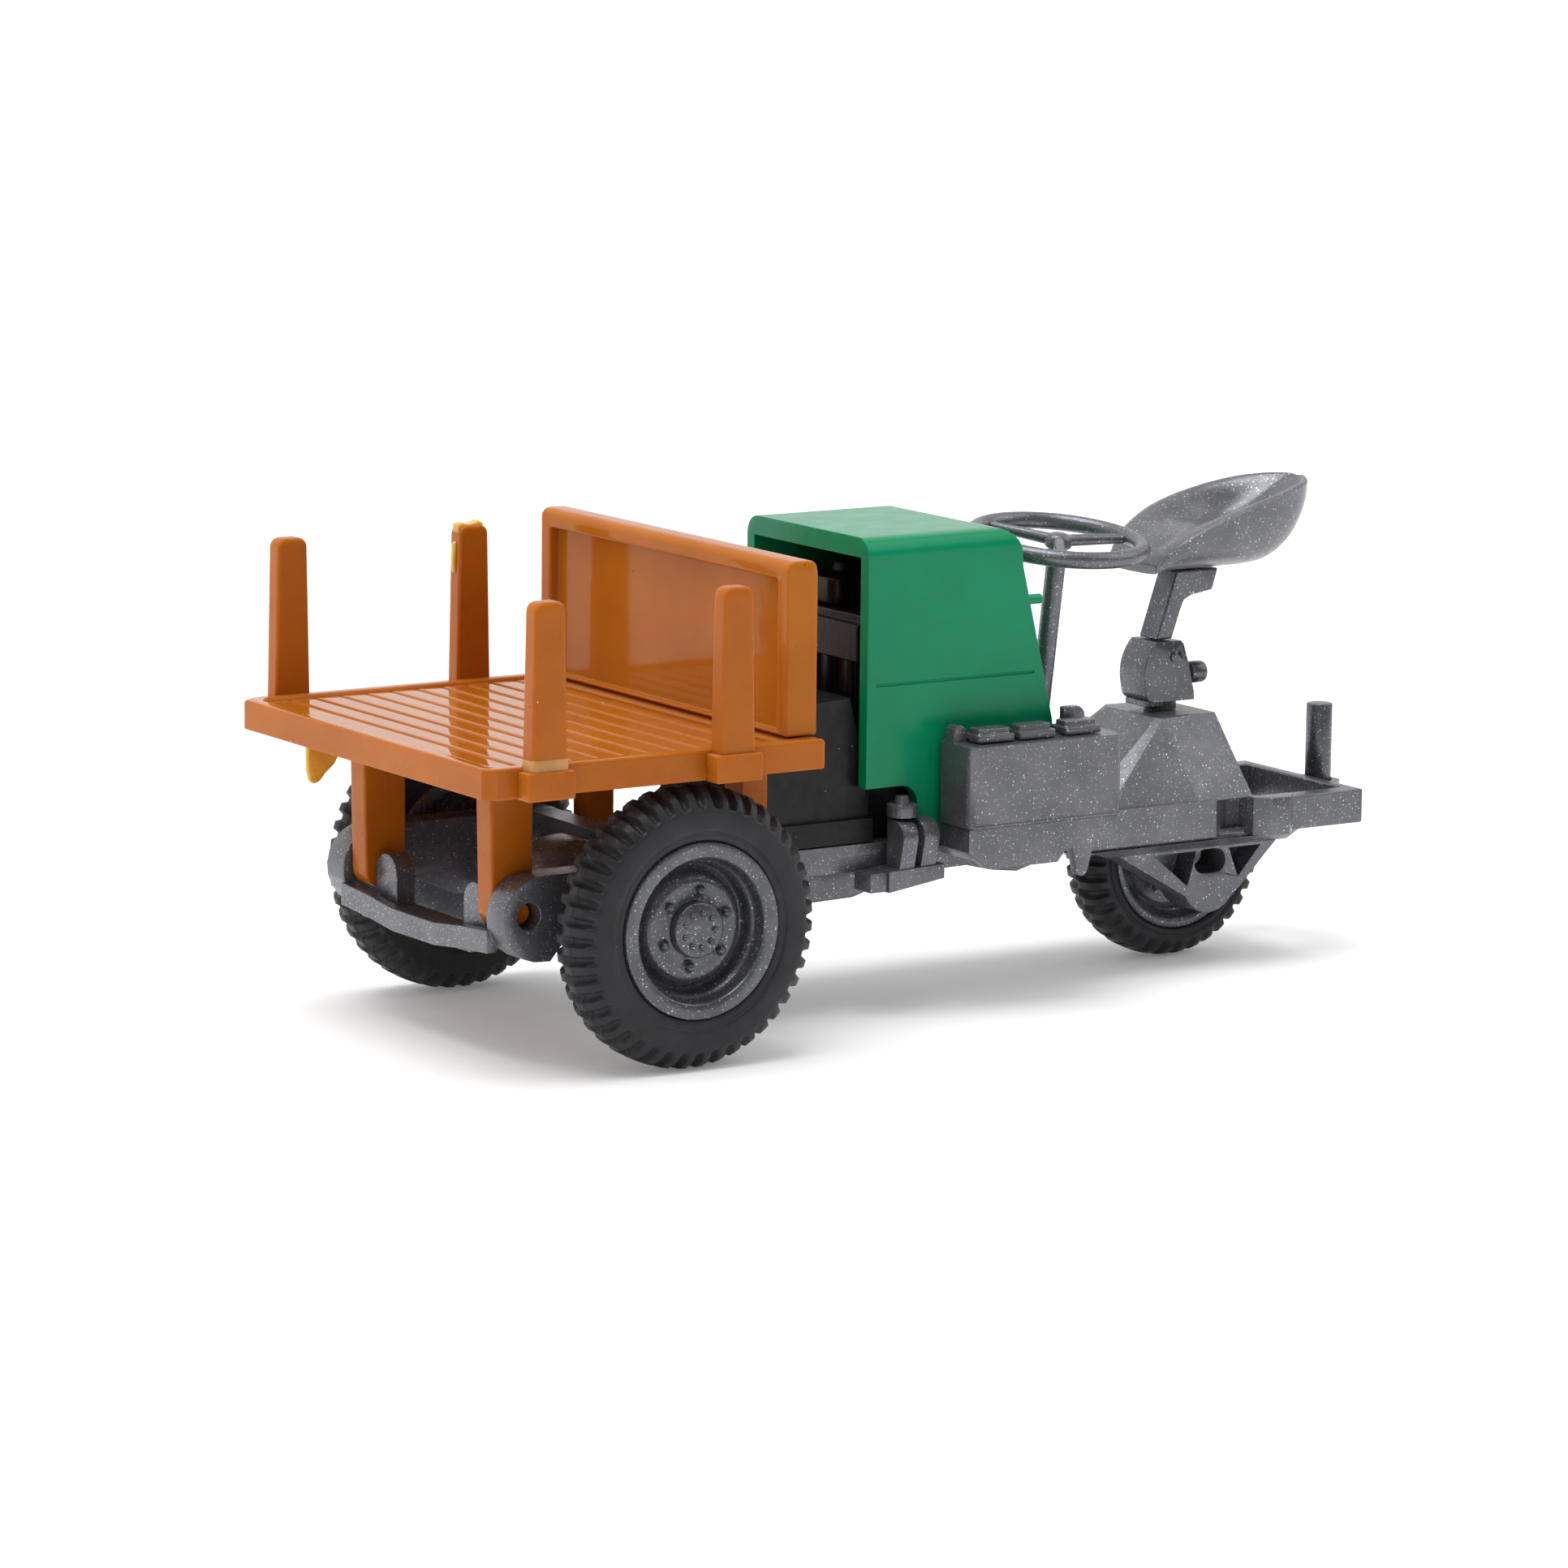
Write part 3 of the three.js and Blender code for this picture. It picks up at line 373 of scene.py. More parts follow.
def strayed(bm, before, width):
    """How much surface, in square millimetres, has left the original or turned against it."""
    bm.normal_update()
    farthest = 1.5 * width + 0.01
    least_agreement = 0.1                 # between the two normals
    astray = 0.0
    for face in bm.faces:
        _, normal, _, distance = before.find_nearest(face.calc_center_median())
        if distance > farthest or normal.dot(face.normal) < least_agreement:
            astray += face.calc_area()
    return astray


def softened(bm, width, segments=2, angle=BEVEL_ANGLE):
    """The mesh rounded as widely as its small faces allow, up to the given width."""
    bmesh.ops.recalc_face_normals(bm, faces=bm.faces)
    before = BVHTree.FromBMesh(bm)
    best, least = None, None
    for share in SHARES:
        for whole in (True, False):
            start = bm.copy()
            if not whole:
                bmesh.ops.triangulate(start, faces=start.faces)
            result = rounded(start, width * share, segments, angle)
            start.free()
            bmesh.ops.recalc_face_normals(result, faces=result.faces)
            bmesh.ops.triangulate(result, faces=result.faces)
            astray = strayed(result, before, width * share)
            if best is None or astray < least:
                best, least = result, astray
            if least < STRAY_LIMIT:
                return best
    return best


def soften(node, material, width, segments=2):
    """A piece that is a CAD node with its edges rounded."""
    bm = softened(cad_copy(node), width, segments)
    make(node + "_moulding", bm, material, body_of_node(node), [node])


def across(x, z):
    """The place of something turned about the line through (x, z) along Y."""
    return Matrix(((1, 0, 0, x), (0, 0, 1, 0), (0, 1, 0, z), (0, 0, 0, 1)))


def turn(bm, profile, place, steps=96, closed=False):
    """Adds the surface that a profile of (radius, height) sweeps about the place's own Z axis."""
    rings = []
    for radius, height in profile:
        if radius < WELD:
            rings.append([bm.verts.new(place @ Vector((0, 0, height)))] * steps)
            continue
        ring = []
        for i in range(steps):
            angle = FULL_TURN * i / steps
            ring.append(bm.verts.new(
                place @ Vector((radius * math.sin(angle), radius * math.cos(angle), height))))
        rings.append(ring)
    pairs = list(zip(rings, rings[1:]))
    if closed:
        pairs.append((rings[-1], rings[0]))
    for inner, outer in pairs:
        for i in range(steps):
            j = (i + 1) % steps
            corners = []
            for vert in (inner[i], inner[j], outer[j], outer[i]):
                if vert not in corners:
                    corners.append(vert)
            if len(corners) > 2:
                bm.faces.new(corners)


def dome(bm, centre, radius, height, axis, foot, steps=16, rings=4):
    """Adds a round-topped button along the axis; its foot runs this far below the centre."""
    axis = Vector(axis).normalized()
    side = axis.orthogonal().normalized()
    other = axis.cross(side)
    levels = [(radius, -foot)] + [
        (radius * math.cos(k * math.pi / 2 / rings), height * math.sin(k * math.pi / 2 / rings))
        for k in range(rings)]
    rows = []
    for reach, rise in levels:
        rows.append([bm.verts.new(
            Vector(centre) + axis * rise
            + side * reach * math.cos(FULL_TURN * i / steps)
            + other * reach * math.sin(FULL_TURN * i / steps)) for i in range(steps)])
    tip = bm.verts.new(Vector(centre) + axis * height)
    for lower, upper in zip(rows, rows[1:]):
        for i in range(steps):
            j = (i + 1) % steps
            bm.faces.new((lower[i], lower[j], upper[j], upper[i]))
    for i in range(steps):
        bm.faces.new((rows[-1][i], rows[-1][(i + 1) % steps], tip))
    bm.faces.new(rows[0][::-1])


# ---- tyres ---------------------------------------------------------------------------
def smooth_step(value, low, high):
    share = min(1.0, max(0.0, (value - low) / (high - low)))
    return share * share * (3 - 2 * share)


def spline(points, per_span=4):
    """Points on a smooth curve through the given ones (Catmull-Rom)."""
    padded = [points[0], *points, points[-1]]
    curve = []
    for a, b, c, d in zip(padded, padded[1:], padded[2:], padded[3:]):
        for k in range(per_span):
            t = k / per_span
            curve.append(tuple(
                0.5 * (2 * q + (r - p) * t + (2 * p - 5 * q + 4 * r - s) * t * t
                       + (3 * q - p - 3 * r + s) * t ** 3)
                for p, q, r, s in zip(a, b, c, d)))
    curve.append(points[-1])
    return curve


LUG_DEPTH = 0.21
LUG_STEPS = 10                        # points round the tyre for each lug
SIDE_SHALLOWER = 0.25                 # share of the depth that is lost at the tyre's sides
LUG_EDGE = (0.40, 0.78)               # a groove's wall, in shares of the half-pitch
LUG_START = (-0.05, 0.12)             # the grooves deepen between these, from tread_from
CENTRE_RIB = 0.14                     # half the width of the smooth rib on the crown


def lugged_tyre(node, section, lugs, tread_from):
    """A tyre with two staggered rows of lugs, outside the radius tread_from.

    section runs from the outer bead over the crown to the inner bead, as (radius, y from
    the middle).
    """
    span = Span(node)
    x, z = span.mid.x, span.mid.z
    curve = spline(section)
    widest = max(abs(y) for _, y in curve)
    steps = lugs * LUG_STEPS
    bm = bmesh.new()
    rows = []
    for index, (radius, y) in enumerate(curve):
        before = curve[max(index - 1, 0)]
        after = curve[min(index + 1, len(curve) - 1)]
        along = Vector((after[0] - before[0], after[1] - before[1])).normalized()
        outward = Vector((along.y, -along.x))
        if outward.x < 0 and radius > tread_from:
            outward = -outward
        on_tread = smooth_step(radius, *(tread_from + offset for offset in LUG_START))
        off_rib = smooth_step(abs(y), CENTRE_RIB * 0.5, CENTRE_RIB)
        side = smooth_step(abs(y), 0.6 * widest, widest)
        groove_depth = LUG_DEPTH * on_tread * off_rib * (1 - SIDE_SHALLOWER * side)
        shift = 0.0 if y < 0 else 0.5
        ring = []
        for i in range(steps):
            turns = i / LUG_STEPS + shift
            off = abs((turns % 1.0) - 0.5) * 2
            push = groove_depth * smooth_step(off, *LUG_EDGE)
            r = radius - outward.x * push
            angle = FULL_TURN * i / steps
            ring.append(bm.verts.new((
                x + r * math.sin(angle), span.mid.y + y - outward.y * push,
                z + r * math.cos(angle))))
        rows.append(ring)
    for lower, upper in zip(rows, [*rows[1:], rows[0]]):
        for i in range(steps):
            j = (i + 1) % steps
            bm.faces.new((lower[i], lower[j], upper[j], upper[i]))
    make(node + "_tread", bm, RUBBER, body_of_node(node), [node],
         smooth=LUG_ANGLE)


BEAD_GAP = 0.01                       # between a rim's edge and its tyre's bead


def mirrored(section):
    """A whole section from its half at negative y."""
    return section + [(radius, -y) for radius, y in reversed(section)]


def front_tyres():
    for side in ("left", "right"):
        node = "front_tyre_" + side
        span = Span(node)
        half = span.size.y / 2
        crown = span.size.x / 2
        bead = Span("front_rim_" + side).size.x / 2 + BEAD_GAP
        lugged_tyre(node, mirrored([
            (bead, -half + 0.2), (bead + 0.05, -half + 0.1), (bead + 0.2, -half + 0.07),
            (bead + 0.29, -half + 0.07), (bead + 0.35, -half + 0.015), (3.35, -half),
            (3.75, -half + 0.03), (4.0, -half + 0.14), (4.22, -half + 0.34),
            (crown - 0.06, -half + 0.6), (crown, -0.3),
        ]), lugs=44, tread_from=3.84)


def rear_tyre():
    span = Span("rear_tyre")
    half = span.size.y / 2
    crown = span.size.x / 2
    bead = Span("rear_rim").size.x / 2 + BEAD_GAP
    lugged_tyre("rear_tyre", mirrored([
        (bead, -half + 0.2), (bead + 0.05, -half + 0.05), (bead + 0.18, -half),
        (bead + 0.24, -half + 0.05), (bead + 0.4, -half), (3.2, -half + 0.06),
        (3.36, -half + 0.2), (crown - 0.08, -half + 0.42), (crown, -0.25),
    ]), lugs=36, tread_from=3.05)


front_tyres()
rear_tyre()


# ---- rims and axles -----------------------------------------------------------------
FOOT = 0.05                           # how far nuts are sunk into what they stand on
FRONT_DISC_DEPTH = 0.525              # of the nuts' feet behind the rim's edge
FRONT_HUB_DEPTH = 0.165               # of the hub bolts' feet
REAR_DISC_HALF = 0.42                 # half the thickness of the rear disc


def ring_of_domes(bm, middle, axis, circle, count, offset, buttons, **fineness):
    """Adds nuts or bolts on a circle round Y; each is one or more (radius, height) buttons."""
    for i in range(count):
        angle = FULL_TURN * (i + offset) / count
        centre = (middle[0] + circle * math.sin(angle), middle[1],
                  middle[2] + circle * math.cos(angle))
        for radius, height in buttons:
            dome(bm, centre, radius, height, axis, **fineness)


def front_rim(side):
    """A deep rim: hub with small bolts, disc with six nuts on washers, stepped edge."""
    node = "front_rim_" + side
    span = Span(node)
    x, z = span.mid.x, span.mid.z
    face, into = (span.low.y, 1) if side == "left" else (span.high.y, -1)
    edge = span.size.x / 2
    depths = [
        (0.0, 0.16), (0.80, 0.16), (0.86, 0.19), (0.88, 0.26), (0.89, 0.52), (0.93, 0.55),
        (1.30, 0.50), (1.45, 0.495), (1.56, 0.52), (1.66, 0.58), (1.74, 0.68), (1.81, 0.80),
        (1.87, 0.91), (1.93, 0.96), (1.99, 0.93), (2.03, 0.82), (2.06, 0.66), (2.10, 0.55),
        (2.15, 0.50), (2.20, 0.44), (2.23, 0.30), (2.26, 0.12), (2.29, 0.03), (2.34, 0.0),
        (edge - 0.06, 0.0), (edge - 0.015, 0.015), (edge, 0.07),
        (edge, 1.85), (edge - 0.05, 1.9), (2.3, 1.9), (2.2, 1.35), (0.9, 1.25), (0.85, 1.3),
        (0.85, 2.4), (0.43, 2.4), (0.43, 1.2), (0.0, 1.2),
    ]
    bm = bmesh.new()
    turn(bm, [(radius, face + into * depth) for radius, depth in depths], across(x, z),
         steps=120)
    axis = (0, -into, 0)
    ring_of_domes(
        bm, (x, face + into * FRONT_DISC_DEPTH, z), axis, circle=1.2, count=6, offset=0.15,
        buttons=[(0.225, 0.07), (0.175, 0.28)], foot=FOOT)
    ring_of_domes(
        bm, (x, face + into * FRONT_HUB_DEPTH, z), axis, circle=0.56, count=9, offset=0.3,
        buttons=[(0.105, 0.12)], foot=0.04, steps=12, rings=3)
    make(node + "_moulding", bm, RIM_AND_SHADED_GREY, "front_wheels", [node], smooth=ROUND_ANGLE)


def rear_rim():
    """A shallow rim, alike on both sides, with six nuts on washers."""
    span = Span("rear_rim")
    x, z = span.mid.x, span.mid.z
    edge = span.size.x / 2
    half = span.size.y / 2
    rise = [
        (0.38, half - 0.03), (0.7, half - 0.03), (0.76, half - 0.1), (0.82, 0.5), (0.95, 0.44),
        (1.6, 0.42), (1.72, 0.40), (1.86, 0.42), (2.02, 0.55), (2.16, 0.78), (2.24, half - 0.03),
        (2.28, half), (edge - 0.04, half), (edge, half - 0.04),
    ]
    bm = bmesh.new()
    turn(bm, rise + [(radius, -y) for radius, y in reversed(rise)], across(x, z), closed=True)
    for out in (1, -1):
        ring_of_domes(
            bm, (x, out * REAR_DISC_HALF, z), (0, out, 0), circle=1.3, count=6, offset=0.45,
            buttons=[(0.2, 0.06), (0.16, 0.24)], foot=FOOT)
    make("rear_rim_moulding", bm, RIM_AND_SHADED_GREY, "rear_wheel", ["rear_rim"],
         smooth=ROUND_ANGLE)


PIN_CHAMFER = 0.06
REAR_PIN_SHORTER = 0.85               # at each end, so that it doesn't fill the fork's slots


def axle(node, shortened=0.0):
    """A steel pin with small chamfers at its ends."""
    span = Span(node)
    radius = span.size.x / 2
    inner = radius - PIN_CHAMFER
    low, high = span.low.y + shortened, span.high.y - shortened
    bm = bmesh.new()
    turn(bm, [
        (0, low), (inner, low), (radius, low + PIN_CHAMFER),
        (radius, high - PIN_CHAMFER), (inner, high), (0, high),
    ], across(span.mid.x, span.mid.z), steps=48)
    make(node + "_pin", bm, STEEL, body_of_node(node), [node])


def clamp_bolt():
    """A bolt with a rounded head, whose shank runs into the clamp's boss."""
    span = Span("seat_clamp_bolt")
    head = span.size.z / 2
    end = span.size.x
    place = (Matrix.Translation((span.low.x, span.mid.y, span.mid.z))
             @ Matrix.Rotation(math.pi / 2, 4, "Y"))
    bm = bmesh.new()
    turn(bm, [
        (0, -0.1), (0.25, -0.1), (0.25, 0.25), (head - 0.05, 0.25), (head, 0.30),
        (head, end - 0.14), (head - 0.03, end - 0.06), (head - 0.1, end - 0.01),
        (head - 0.18, end), (0, end),
    ], place, steps=40)
    # The bolt's darker grey is painted shade.
    make("seat_clamp_bolt_moulding", bm, RIM_AND_SHADED_GREY, "chassis", ["seat_clamp_bolt"],
         smooth=ROUND_ANGLE)


front_rim("left")
front_rim("right")
rear_rim()
axle("front_axle")
axle("rear_axle", shortened=REAR_PIN_SHORTER)


# ---- mouldings that follow the CAD solids ---------------------------------------------
for node in ("chassis_frame", "tipping_frame", "rear_housing", "tow_frame", "hitch_plate",
             "oil_sump", "reservoir_bracket"):
    soften(node, GREY, width=0.07, segments=3)
# The clamp and the post take the darker grey as painted shade.
for node in ("seat_clamp", "seat_post"):
    soften(node, RIM_AND_SHADED_GREY, width=0.07, segments=3)
for node in ("battery_box", "battery_cap_1", "battery_cap_2", "battery_cap_3",
             "battery_terminal"):
    soften(node, GREY, width=0.06, segments=3)
for node in ("drive_housing", "torque_tube", "fluid_reservoir", "steering_column"):
    soften(node, GREY, width=0.04)
# The hitch pin takes the darker grey as painted shade.
soften("hitch_pin", RIM_AND_SHADED_GREY, width=0.05)
clamp_bolt()
for node in ("gearbox", "engine_block", "cylinder_head"):
    soften(node, BLACK, width=0.1, segments=3)
soften("engine_hood", GREEN, width=0.1, segments=3)
soften("headboard", BOARD, width=0.09, segments=3)
for place in ("front_left", "front_right", "rear_left", "rear_right"):
    soften("stake_" + place, ORANGE, width=0.11, segments=3)


# ---- tipping bed ------------------------------------------------------------------------
DECK_THICKNESS = 0.97
DECK_BORDER = 0.55        # width of the raised edge round the planks
DECK_SINK = 0.1           # how far the planks lie below the edge
CORNER_CUT = 0.35
PLANKS = 11
PLANK_TUCK = 0.03         # how far a plank's ends run under the raised edge
POCKET_REACH = 0.65       # how far the pockets stand out past the deck's sides
POCKET_HALF = 0.83        # half a pocket's length along the bed
POCKET_SIDES = (7.6, 8.5)
POCKET_DEPTHS = (1.0, 0.12)         # of its foot and its top, below the deck's edge
SHIN_SIDES = (3.5, 4.42)            # the plates that the bed turns on
SHIN_FRONT, SHIN_BACK = 0.72, 0.84  # how far they reach from the pivot
SHIN_TOE = 0.62                     # radius of their round foot
LEG_SIDES = (4.1, 5.1)              # the legs behind them
LEG_ALONG = (-8.25, -7.25)
LEG_FOOT = 5.0
INTO_DECK = 0.5                     # how far shins and legs are let into the deck
PIVOT_RADIUS = 0.36
PIVOT_CHAMFER = 0.05
PIVOT_SIDES = (4.3, 5.03)


def prism(points, y0, y1):
    """A solid with the given outline of (x, z), from one Y to another."""
    bm = bmesh.new()
    near = [bm.verts.new((x, y0, z)) for x, z in points]
    far = [bm.verts.new((x, y1, z)) for x, z in points]
    for i in range(len(points)):
        j = (i + 1) % len(points)
        bm.faces.new((near[i], near[j], far[j], far[i]))
    bm.faces.new(near[::-1])
    bm.faces.new(far)
    return bm


def block(x0, x1, y0, y1, z0, z1):
    """A solid box between the given places."""
    return prism([(x0, z0), (x1, z0), (x1, z1), (x0, z1)], y0, y1)


def gather(whole, part):
    """Moves a part's faces into the whole."""
    mesh = bpy.data.meshes.new("part")
    part.to_mesh(mesh)
    part.free()
    whole.from_mesh(mesh)
    bpy.data.meshes.remove(mesh)


class Deck:
    """The deck's places, from the bed's own box."""

    def __init__(self):
        bed = Span("cargo_bed")
        board = Span("headboard")
        self.x0 = bed.low.x
        self.x1 = board.high.x + 0.04
        self.half = bed.high.y - POCKET_REACH
        self.top = bed.high.z
        self.low = self.top - DECK_THICKNESS
        self.floor = self.top - DECK_SINK
        self.floor_end = board.low.x - 0.12          # the planks stop short of the headboard

    def outline(self, inset, z):
        """Six corners; the rear edge runs in to the foot of the headboard."""
        x0 = self.x0 + inset
        x1 = self.x1 - inset * (self.x1 - self.floor_end) / DECK_BORDER
        y = self.half - inset
        return [
            (x0 + CORNER_CUT, -y, z), (x1, -y, z), (x1, y, z), (x0 + CORNER_CUT, y, z),
            (x0, y - CORNER_CUT, z), (x0, CORNER_CUT - y, z)]


def deck_slab(bm, deck):
    """The slab with its raised border; the planks lie in the well."""
    section = [
        (0.05, deck.low), (0.012, deck.low + 0.015), (0.0, deck.low + 0.06),
        (0.0, deck.top - 0.13), (0.012, deck.top - 0.06), (0.05, deck.top - 0.018),
        (0.12, deck.top), (0.36, deck.top), (0.42, deck.top - 0.012),
        (0.47, deck.top - DECK_SINK * 0.5), (0.51, deck.floor - 0.01),
        (DECK_BORDER, deck.floor - 0.1),
    ]
    loops = [[bm.verts.new(corner) for corner in deck.outline(inset, z)] for inset, z in section]
    for outer, inner in zip(loops, loops[1:]):
        for i in range(len(outer)):
            j = (i + 1) % len(outer)
            bm.faces.new((outer[i], outer[j], inner[j], inner[i]))
    bm.faces.new(loops[0][::-1])
    bm.faces.new(loops[-1])


def plank(bm, x0, x1, y, z):
    """A long flat strip whose edges fall away on every side."""
    section = [
        (0.03, z - 0.12), (0.05, z - 0.07), (0.085, z - 0.03), (0.125, z - 0.008), (0.17, z)]
    loops = []
    for inset, height in section:
        loops.append([bm.verts.new(corner) for corner in (
            (x0 + inset, -y + inset, height), (x1 - inset, -y + inset, height),
            (x1 - inset, y - inset, height), (x0 + inset, y - inset, height))])
    for outer, inner in zip(loops, loops[1:]):
        for i in range(4):
            j = (i + 1) % 4
            bm.faces.new((outer[i], outer[j], inner[j], inner[i]))
    bm.faces.new(loops[-1])


def round_toe(centre_x, centre_z, radius):
    """Points of a half circle that hangs below a centre, from its front to its rear."""
    return [
        (centre_x + radius * math.cos(math.pi + math.pi * k / 16),
         centre_z + radius * math.sin(math.pi + math.pi * k / 16)) for k in range(17)]


def pocket(stake, side, deck):
    """The block on the deck's side that a stake stands in."""
    inner, outer = POCKET_SIDES
    foot, top = POCKET_DEPTHS
    return block(stake.mid.x - POCKET_HALF, stake.mid.x + POCKET_HALF, side * inner, side * outer,
                 deck.top - foot, deck.top - top)


def shin(pivot, side, deck):
    """The round-footed plate that hangs from the deck and turns on the pivot."""
    inner, outer = SHIN_SIDES
    top = deck.top - INTO_DECK
    back = pivot.x + SHIN_BACK
    outline = [
        (pivot.x - SHIN_FRONT, top), *round_toe(pivot.x, pivot.z, SHIN_TOE),
        (back, pivot.z + 0.3), (back, top)]
    return prism(outline, side * inner, side * outer)


def leg(side, deck):
    """The straight leg behind the shin."""
    inner, outer = LEG_SIDES
    return block(*LEG_ALONG, side * inner, side * outer, LEG_FOOT, deck.top - INTO_DECK)


def tipping_bed():
    """The deck with its planks, the stakes' pockets, the shins and legs, and the trunnions."""
    deck = Deck()
    pivot = Vector(joint_named("bed_tip")["pos_m"]) / MM
    bm = bmesh.new()
    deck_slab(bm, deck)
    well_start = deck.x0 + DECK_BORDER
    pitch = (deck.floor_end - well_start) / PLANKS
    for i in range(PLANKS):
        plank(bm, well_start + i * pitch, well_start + (i + 1) * pitch,
              deck.half - DECK_BORDER + PLANK_TUCK, deck.floor)
    inner, outer = PIVOT_SIDES
    for side, hand in ((-1, "left"), (1, "right")):
        for place in ("front", "rear"):
            stake = Span("stake_" + place + "_" + hand)
            gather(bm, softened(pocket(stake, side, deck), 0.07, segments=3))
        gather(bm, softened(shin(pivot, side, deck), 0.09, segments=3))
        gather(bm, softened(leg(side, deck), 0.09, segments=3))
        turn(bm, [
            (0, side * inner), (PIVOT_RADIUS, side * inner),
            (PIVOT_RADIUS, side * (outer - PIVOT_CHAMFER)),
            (PIVOT_RADIUS - PIVOT_CHAMFER, side * outer), (0, side * outer),
        ], across(pivot.x, pivot.z), steps=40)
    bed = make("cargo_bed_moulding", bm, ORANGE, "tipping_bed", ["cargo_bed"])
    bed.data.materials.append(GLOSSY)
    for face in bed.data.polygons:
        if face.normal.z > 0.9 and face.center.z > (deck.floor - 0.2) * MM:
            face.material_index = 1       # the upper faces of the planks and of the edge


tipping_bed()


# ---- seat pan --------------------------------------------------------------------------
# Rows along the pan: place along the vehicle from the front axle, half-width, then the
# heights of the rim, of the middle of the upper face and of the keel.
SEAT_ROWS = [
    (21.9, 1.42, 13.42, 13.42, 13.1), (22.15, 1.55, 13.62, 13.6, 13.1),
    (22.6, 1.78, 14.12, 13.95, 13.1), (23.3, 2.02, 14.55, 14.38, 13.1),
    (24.1, 2.2, 14.92, 14.6, 13.1), (25.0, 2.28, 15.22, 14.52, 13.1),
    (26.0, 2.24, 15.48, 14.5, 13.11), (26.8, 2.08, 15.66, 14.72, 13.22),
    (27.5, 1.8, 15.8, 15.1, 13.58), (28.0, 1.46, 15.88, 15.44, 14.1),
    (28.4, 1.05, 15.93, 15.72, 14.75), (28.66, 0.6, 15.95, 15.88, 15.35),
    (28.75, 0.3, 15.95, 15.93, 15.6),
]
SEAT_LIP = 0.25                       # height of the rim's outer edge
SEAT_ROLL = 0.06                      # how far the rim's top falls away outwards
SEAT_DISH = (0.3, 0.85)               # the dish rises between these shares of the half-width
SEAT_HULL = 0.98                      # width of the hull below, as a share of the rim's
SEAT_HULL_POWER = 2.5                 # the higher, the boxier the hull
SEAT_STEPS = 32


def seat_pan():
    """A dish with a rolled rim above and a rounded hull below."""
    front = Span("seat_pan").low.x - SEAT_ROWS[0][0]
    sides = [math.sin(math.pi * (j / SEAT_STEPS - 0.5)) for j in range(SEAT_STEPS + 1)]
    bm = bmesh.new()
    loops = []
    for x, half, rim, middle, keel in spline(SEAT_ROWS, per_span=5):
        loop = []
        for side in sides:
            dish = smooth_step(abs(side), *SEAT_DISH)
            fall = SEAT_ROLL * smooth_step(abs(side), 0.9, 1.0)
            loop.append((half * side, middle + (rim - middle) * dish - fall))
        for side in sides:
            hull = 1 - math.sqrt(max(0.0, 1 - abs(side) ** SEAT_HULL_POWER))
            loop.append((-half * side * SEAT_HULL, keel + (rim - SEAT_LIP - keel) * hull))
        loops.append([bm.verts.new((front + x, y, z)) for y, z in loop])
    for near, far in zip(loops, loops[1:]):
        for i in range(len(near)):
            j = (i + 1) % len(near)
            bm.faces.new((near[i], near[j], far[j], far[i]))
    bm.faces.new(loops[0])
    bm.faces.new(loops[-1])
    pan = softened(bm, 0.05, segments=3, angle=35)
    make("seat_pan_moulding", pan, GREY, "chassis", ["seat_pan"],
         smooth=SEAT_ANGLE)


# ---- steering wheel ----------------------------------------------------------------------
def steering_place():
    """Where the wheel's middle is, with its own Z along the column."""
    joint = joint_named("steering_turn")
    axis = Vector(joint["axis"]).normalized()
    back = (Vector((1, 0, 0)) - axis * axis.x).normalized()
    turned = Matrix((back, axis.cross(back), axis)).transposed().to_4x4()
    return Matrix.Translation(Vector(joint["pos_m"]) / MM) @ turned


SPOKE_ANGLES = (-3, 117, 237)         # degrees round the column; 0 is towards the seat
GRIP_RADIUS = 0.285
GRIP_STEPS = 20


def steering_wheel():
    """A round grip on three tapering spokes with a button-shaped hub."""
    place = steering_place()
    ring = Span("steering_wheel").size.x / 2 - GRIP_RADIUS
    bm = bmesh.new()
    turn(bm, [
        (ring + GRIP_RADIUS * math.cos(FULL_TURN * k / GRIP_STEPS),
         GRIP_RADIUS * math.sin(FULL_TURN * k / GRIP_STEPS))
        for k in range(GRIP_STEPS)], place, steps=128, closed=True)
    turn(bm, [
        (0, 0.24), (0.26, 0.23), (0.38, 0.16), (0.44, 0.03), (0.45, -0.2), (0.38, -0.26),
        (0, -0.26),
    ], place, steps=40)
    for degrees in SPOKE_ANGLES:
        spoke = (place @ Matrix.Rotation(math.radians(degrees), 4, "Z")
                 @ Matrix.Translation((ring / 2, 0, -0.02))
                 @ Matrix.Rotation(math.pi / 2, 4, "Y"))
        bmesh.ops.create_cone(
            bm, cap_ends=True, segments=24, radius1=0.21, radius2=0.16, depth=ring, matrix=spoke)
    make("steering_wheel_moulding", bm, GREY, "steering", ["steering_wheel"],
         smooth=ROUND_ANGLE)


seat_pan()
steering_wheel()


# ---- amber flash left on the bed ------------------------------------------------------------
DROP_SIDES = (7.95, 8.15)


def flash_drop():
    """A hardened drop that hangs from the bed's right side."""
    points = [
        (-16.5, 9.05), (-16.52, 8.0), (-16.5, 7.4), (-16.42, 7.05), (-16.25, 6.95),
        (-16.05, 7.02), (-15.8, 7.3), (-15.5, 7.55), (-15.3, 7.9), (-15.2, 8.3), (-15.2, 9.05)]
    make("flash_drop", softened(prism(points, *DROP_SIDES), 0.07, segments=3), AMBER, "tipping_bed",
         smooth=BLOB_ANGLE)


BAND_HALF = 0.66                      # half its length along the bed
BAND_THICKNESS = 0.03
BAND_HEIGHTS = (9.7, 10.3)


def flash_band():
    """A thin skin round the foot of the left front stake."""
    stake = Span("stake_front_left")
    band = block(stake.mid.x - BAND_HALF, stake.mid.x + BAND_HALF,
                 stake.low.y - BAND_THICKNESS, stake.high.y + BAND_THICKNESS, *BAND_HEIGHTS)
    make("flash_band", softened(band, 0.12, segments=3), TAN, "tipping_bed",
         smooth=BLOB_ANGLE)


CREST_HALF, RUN_HALF = 0.2, 0.1       # half the thickness of the crest and of its run


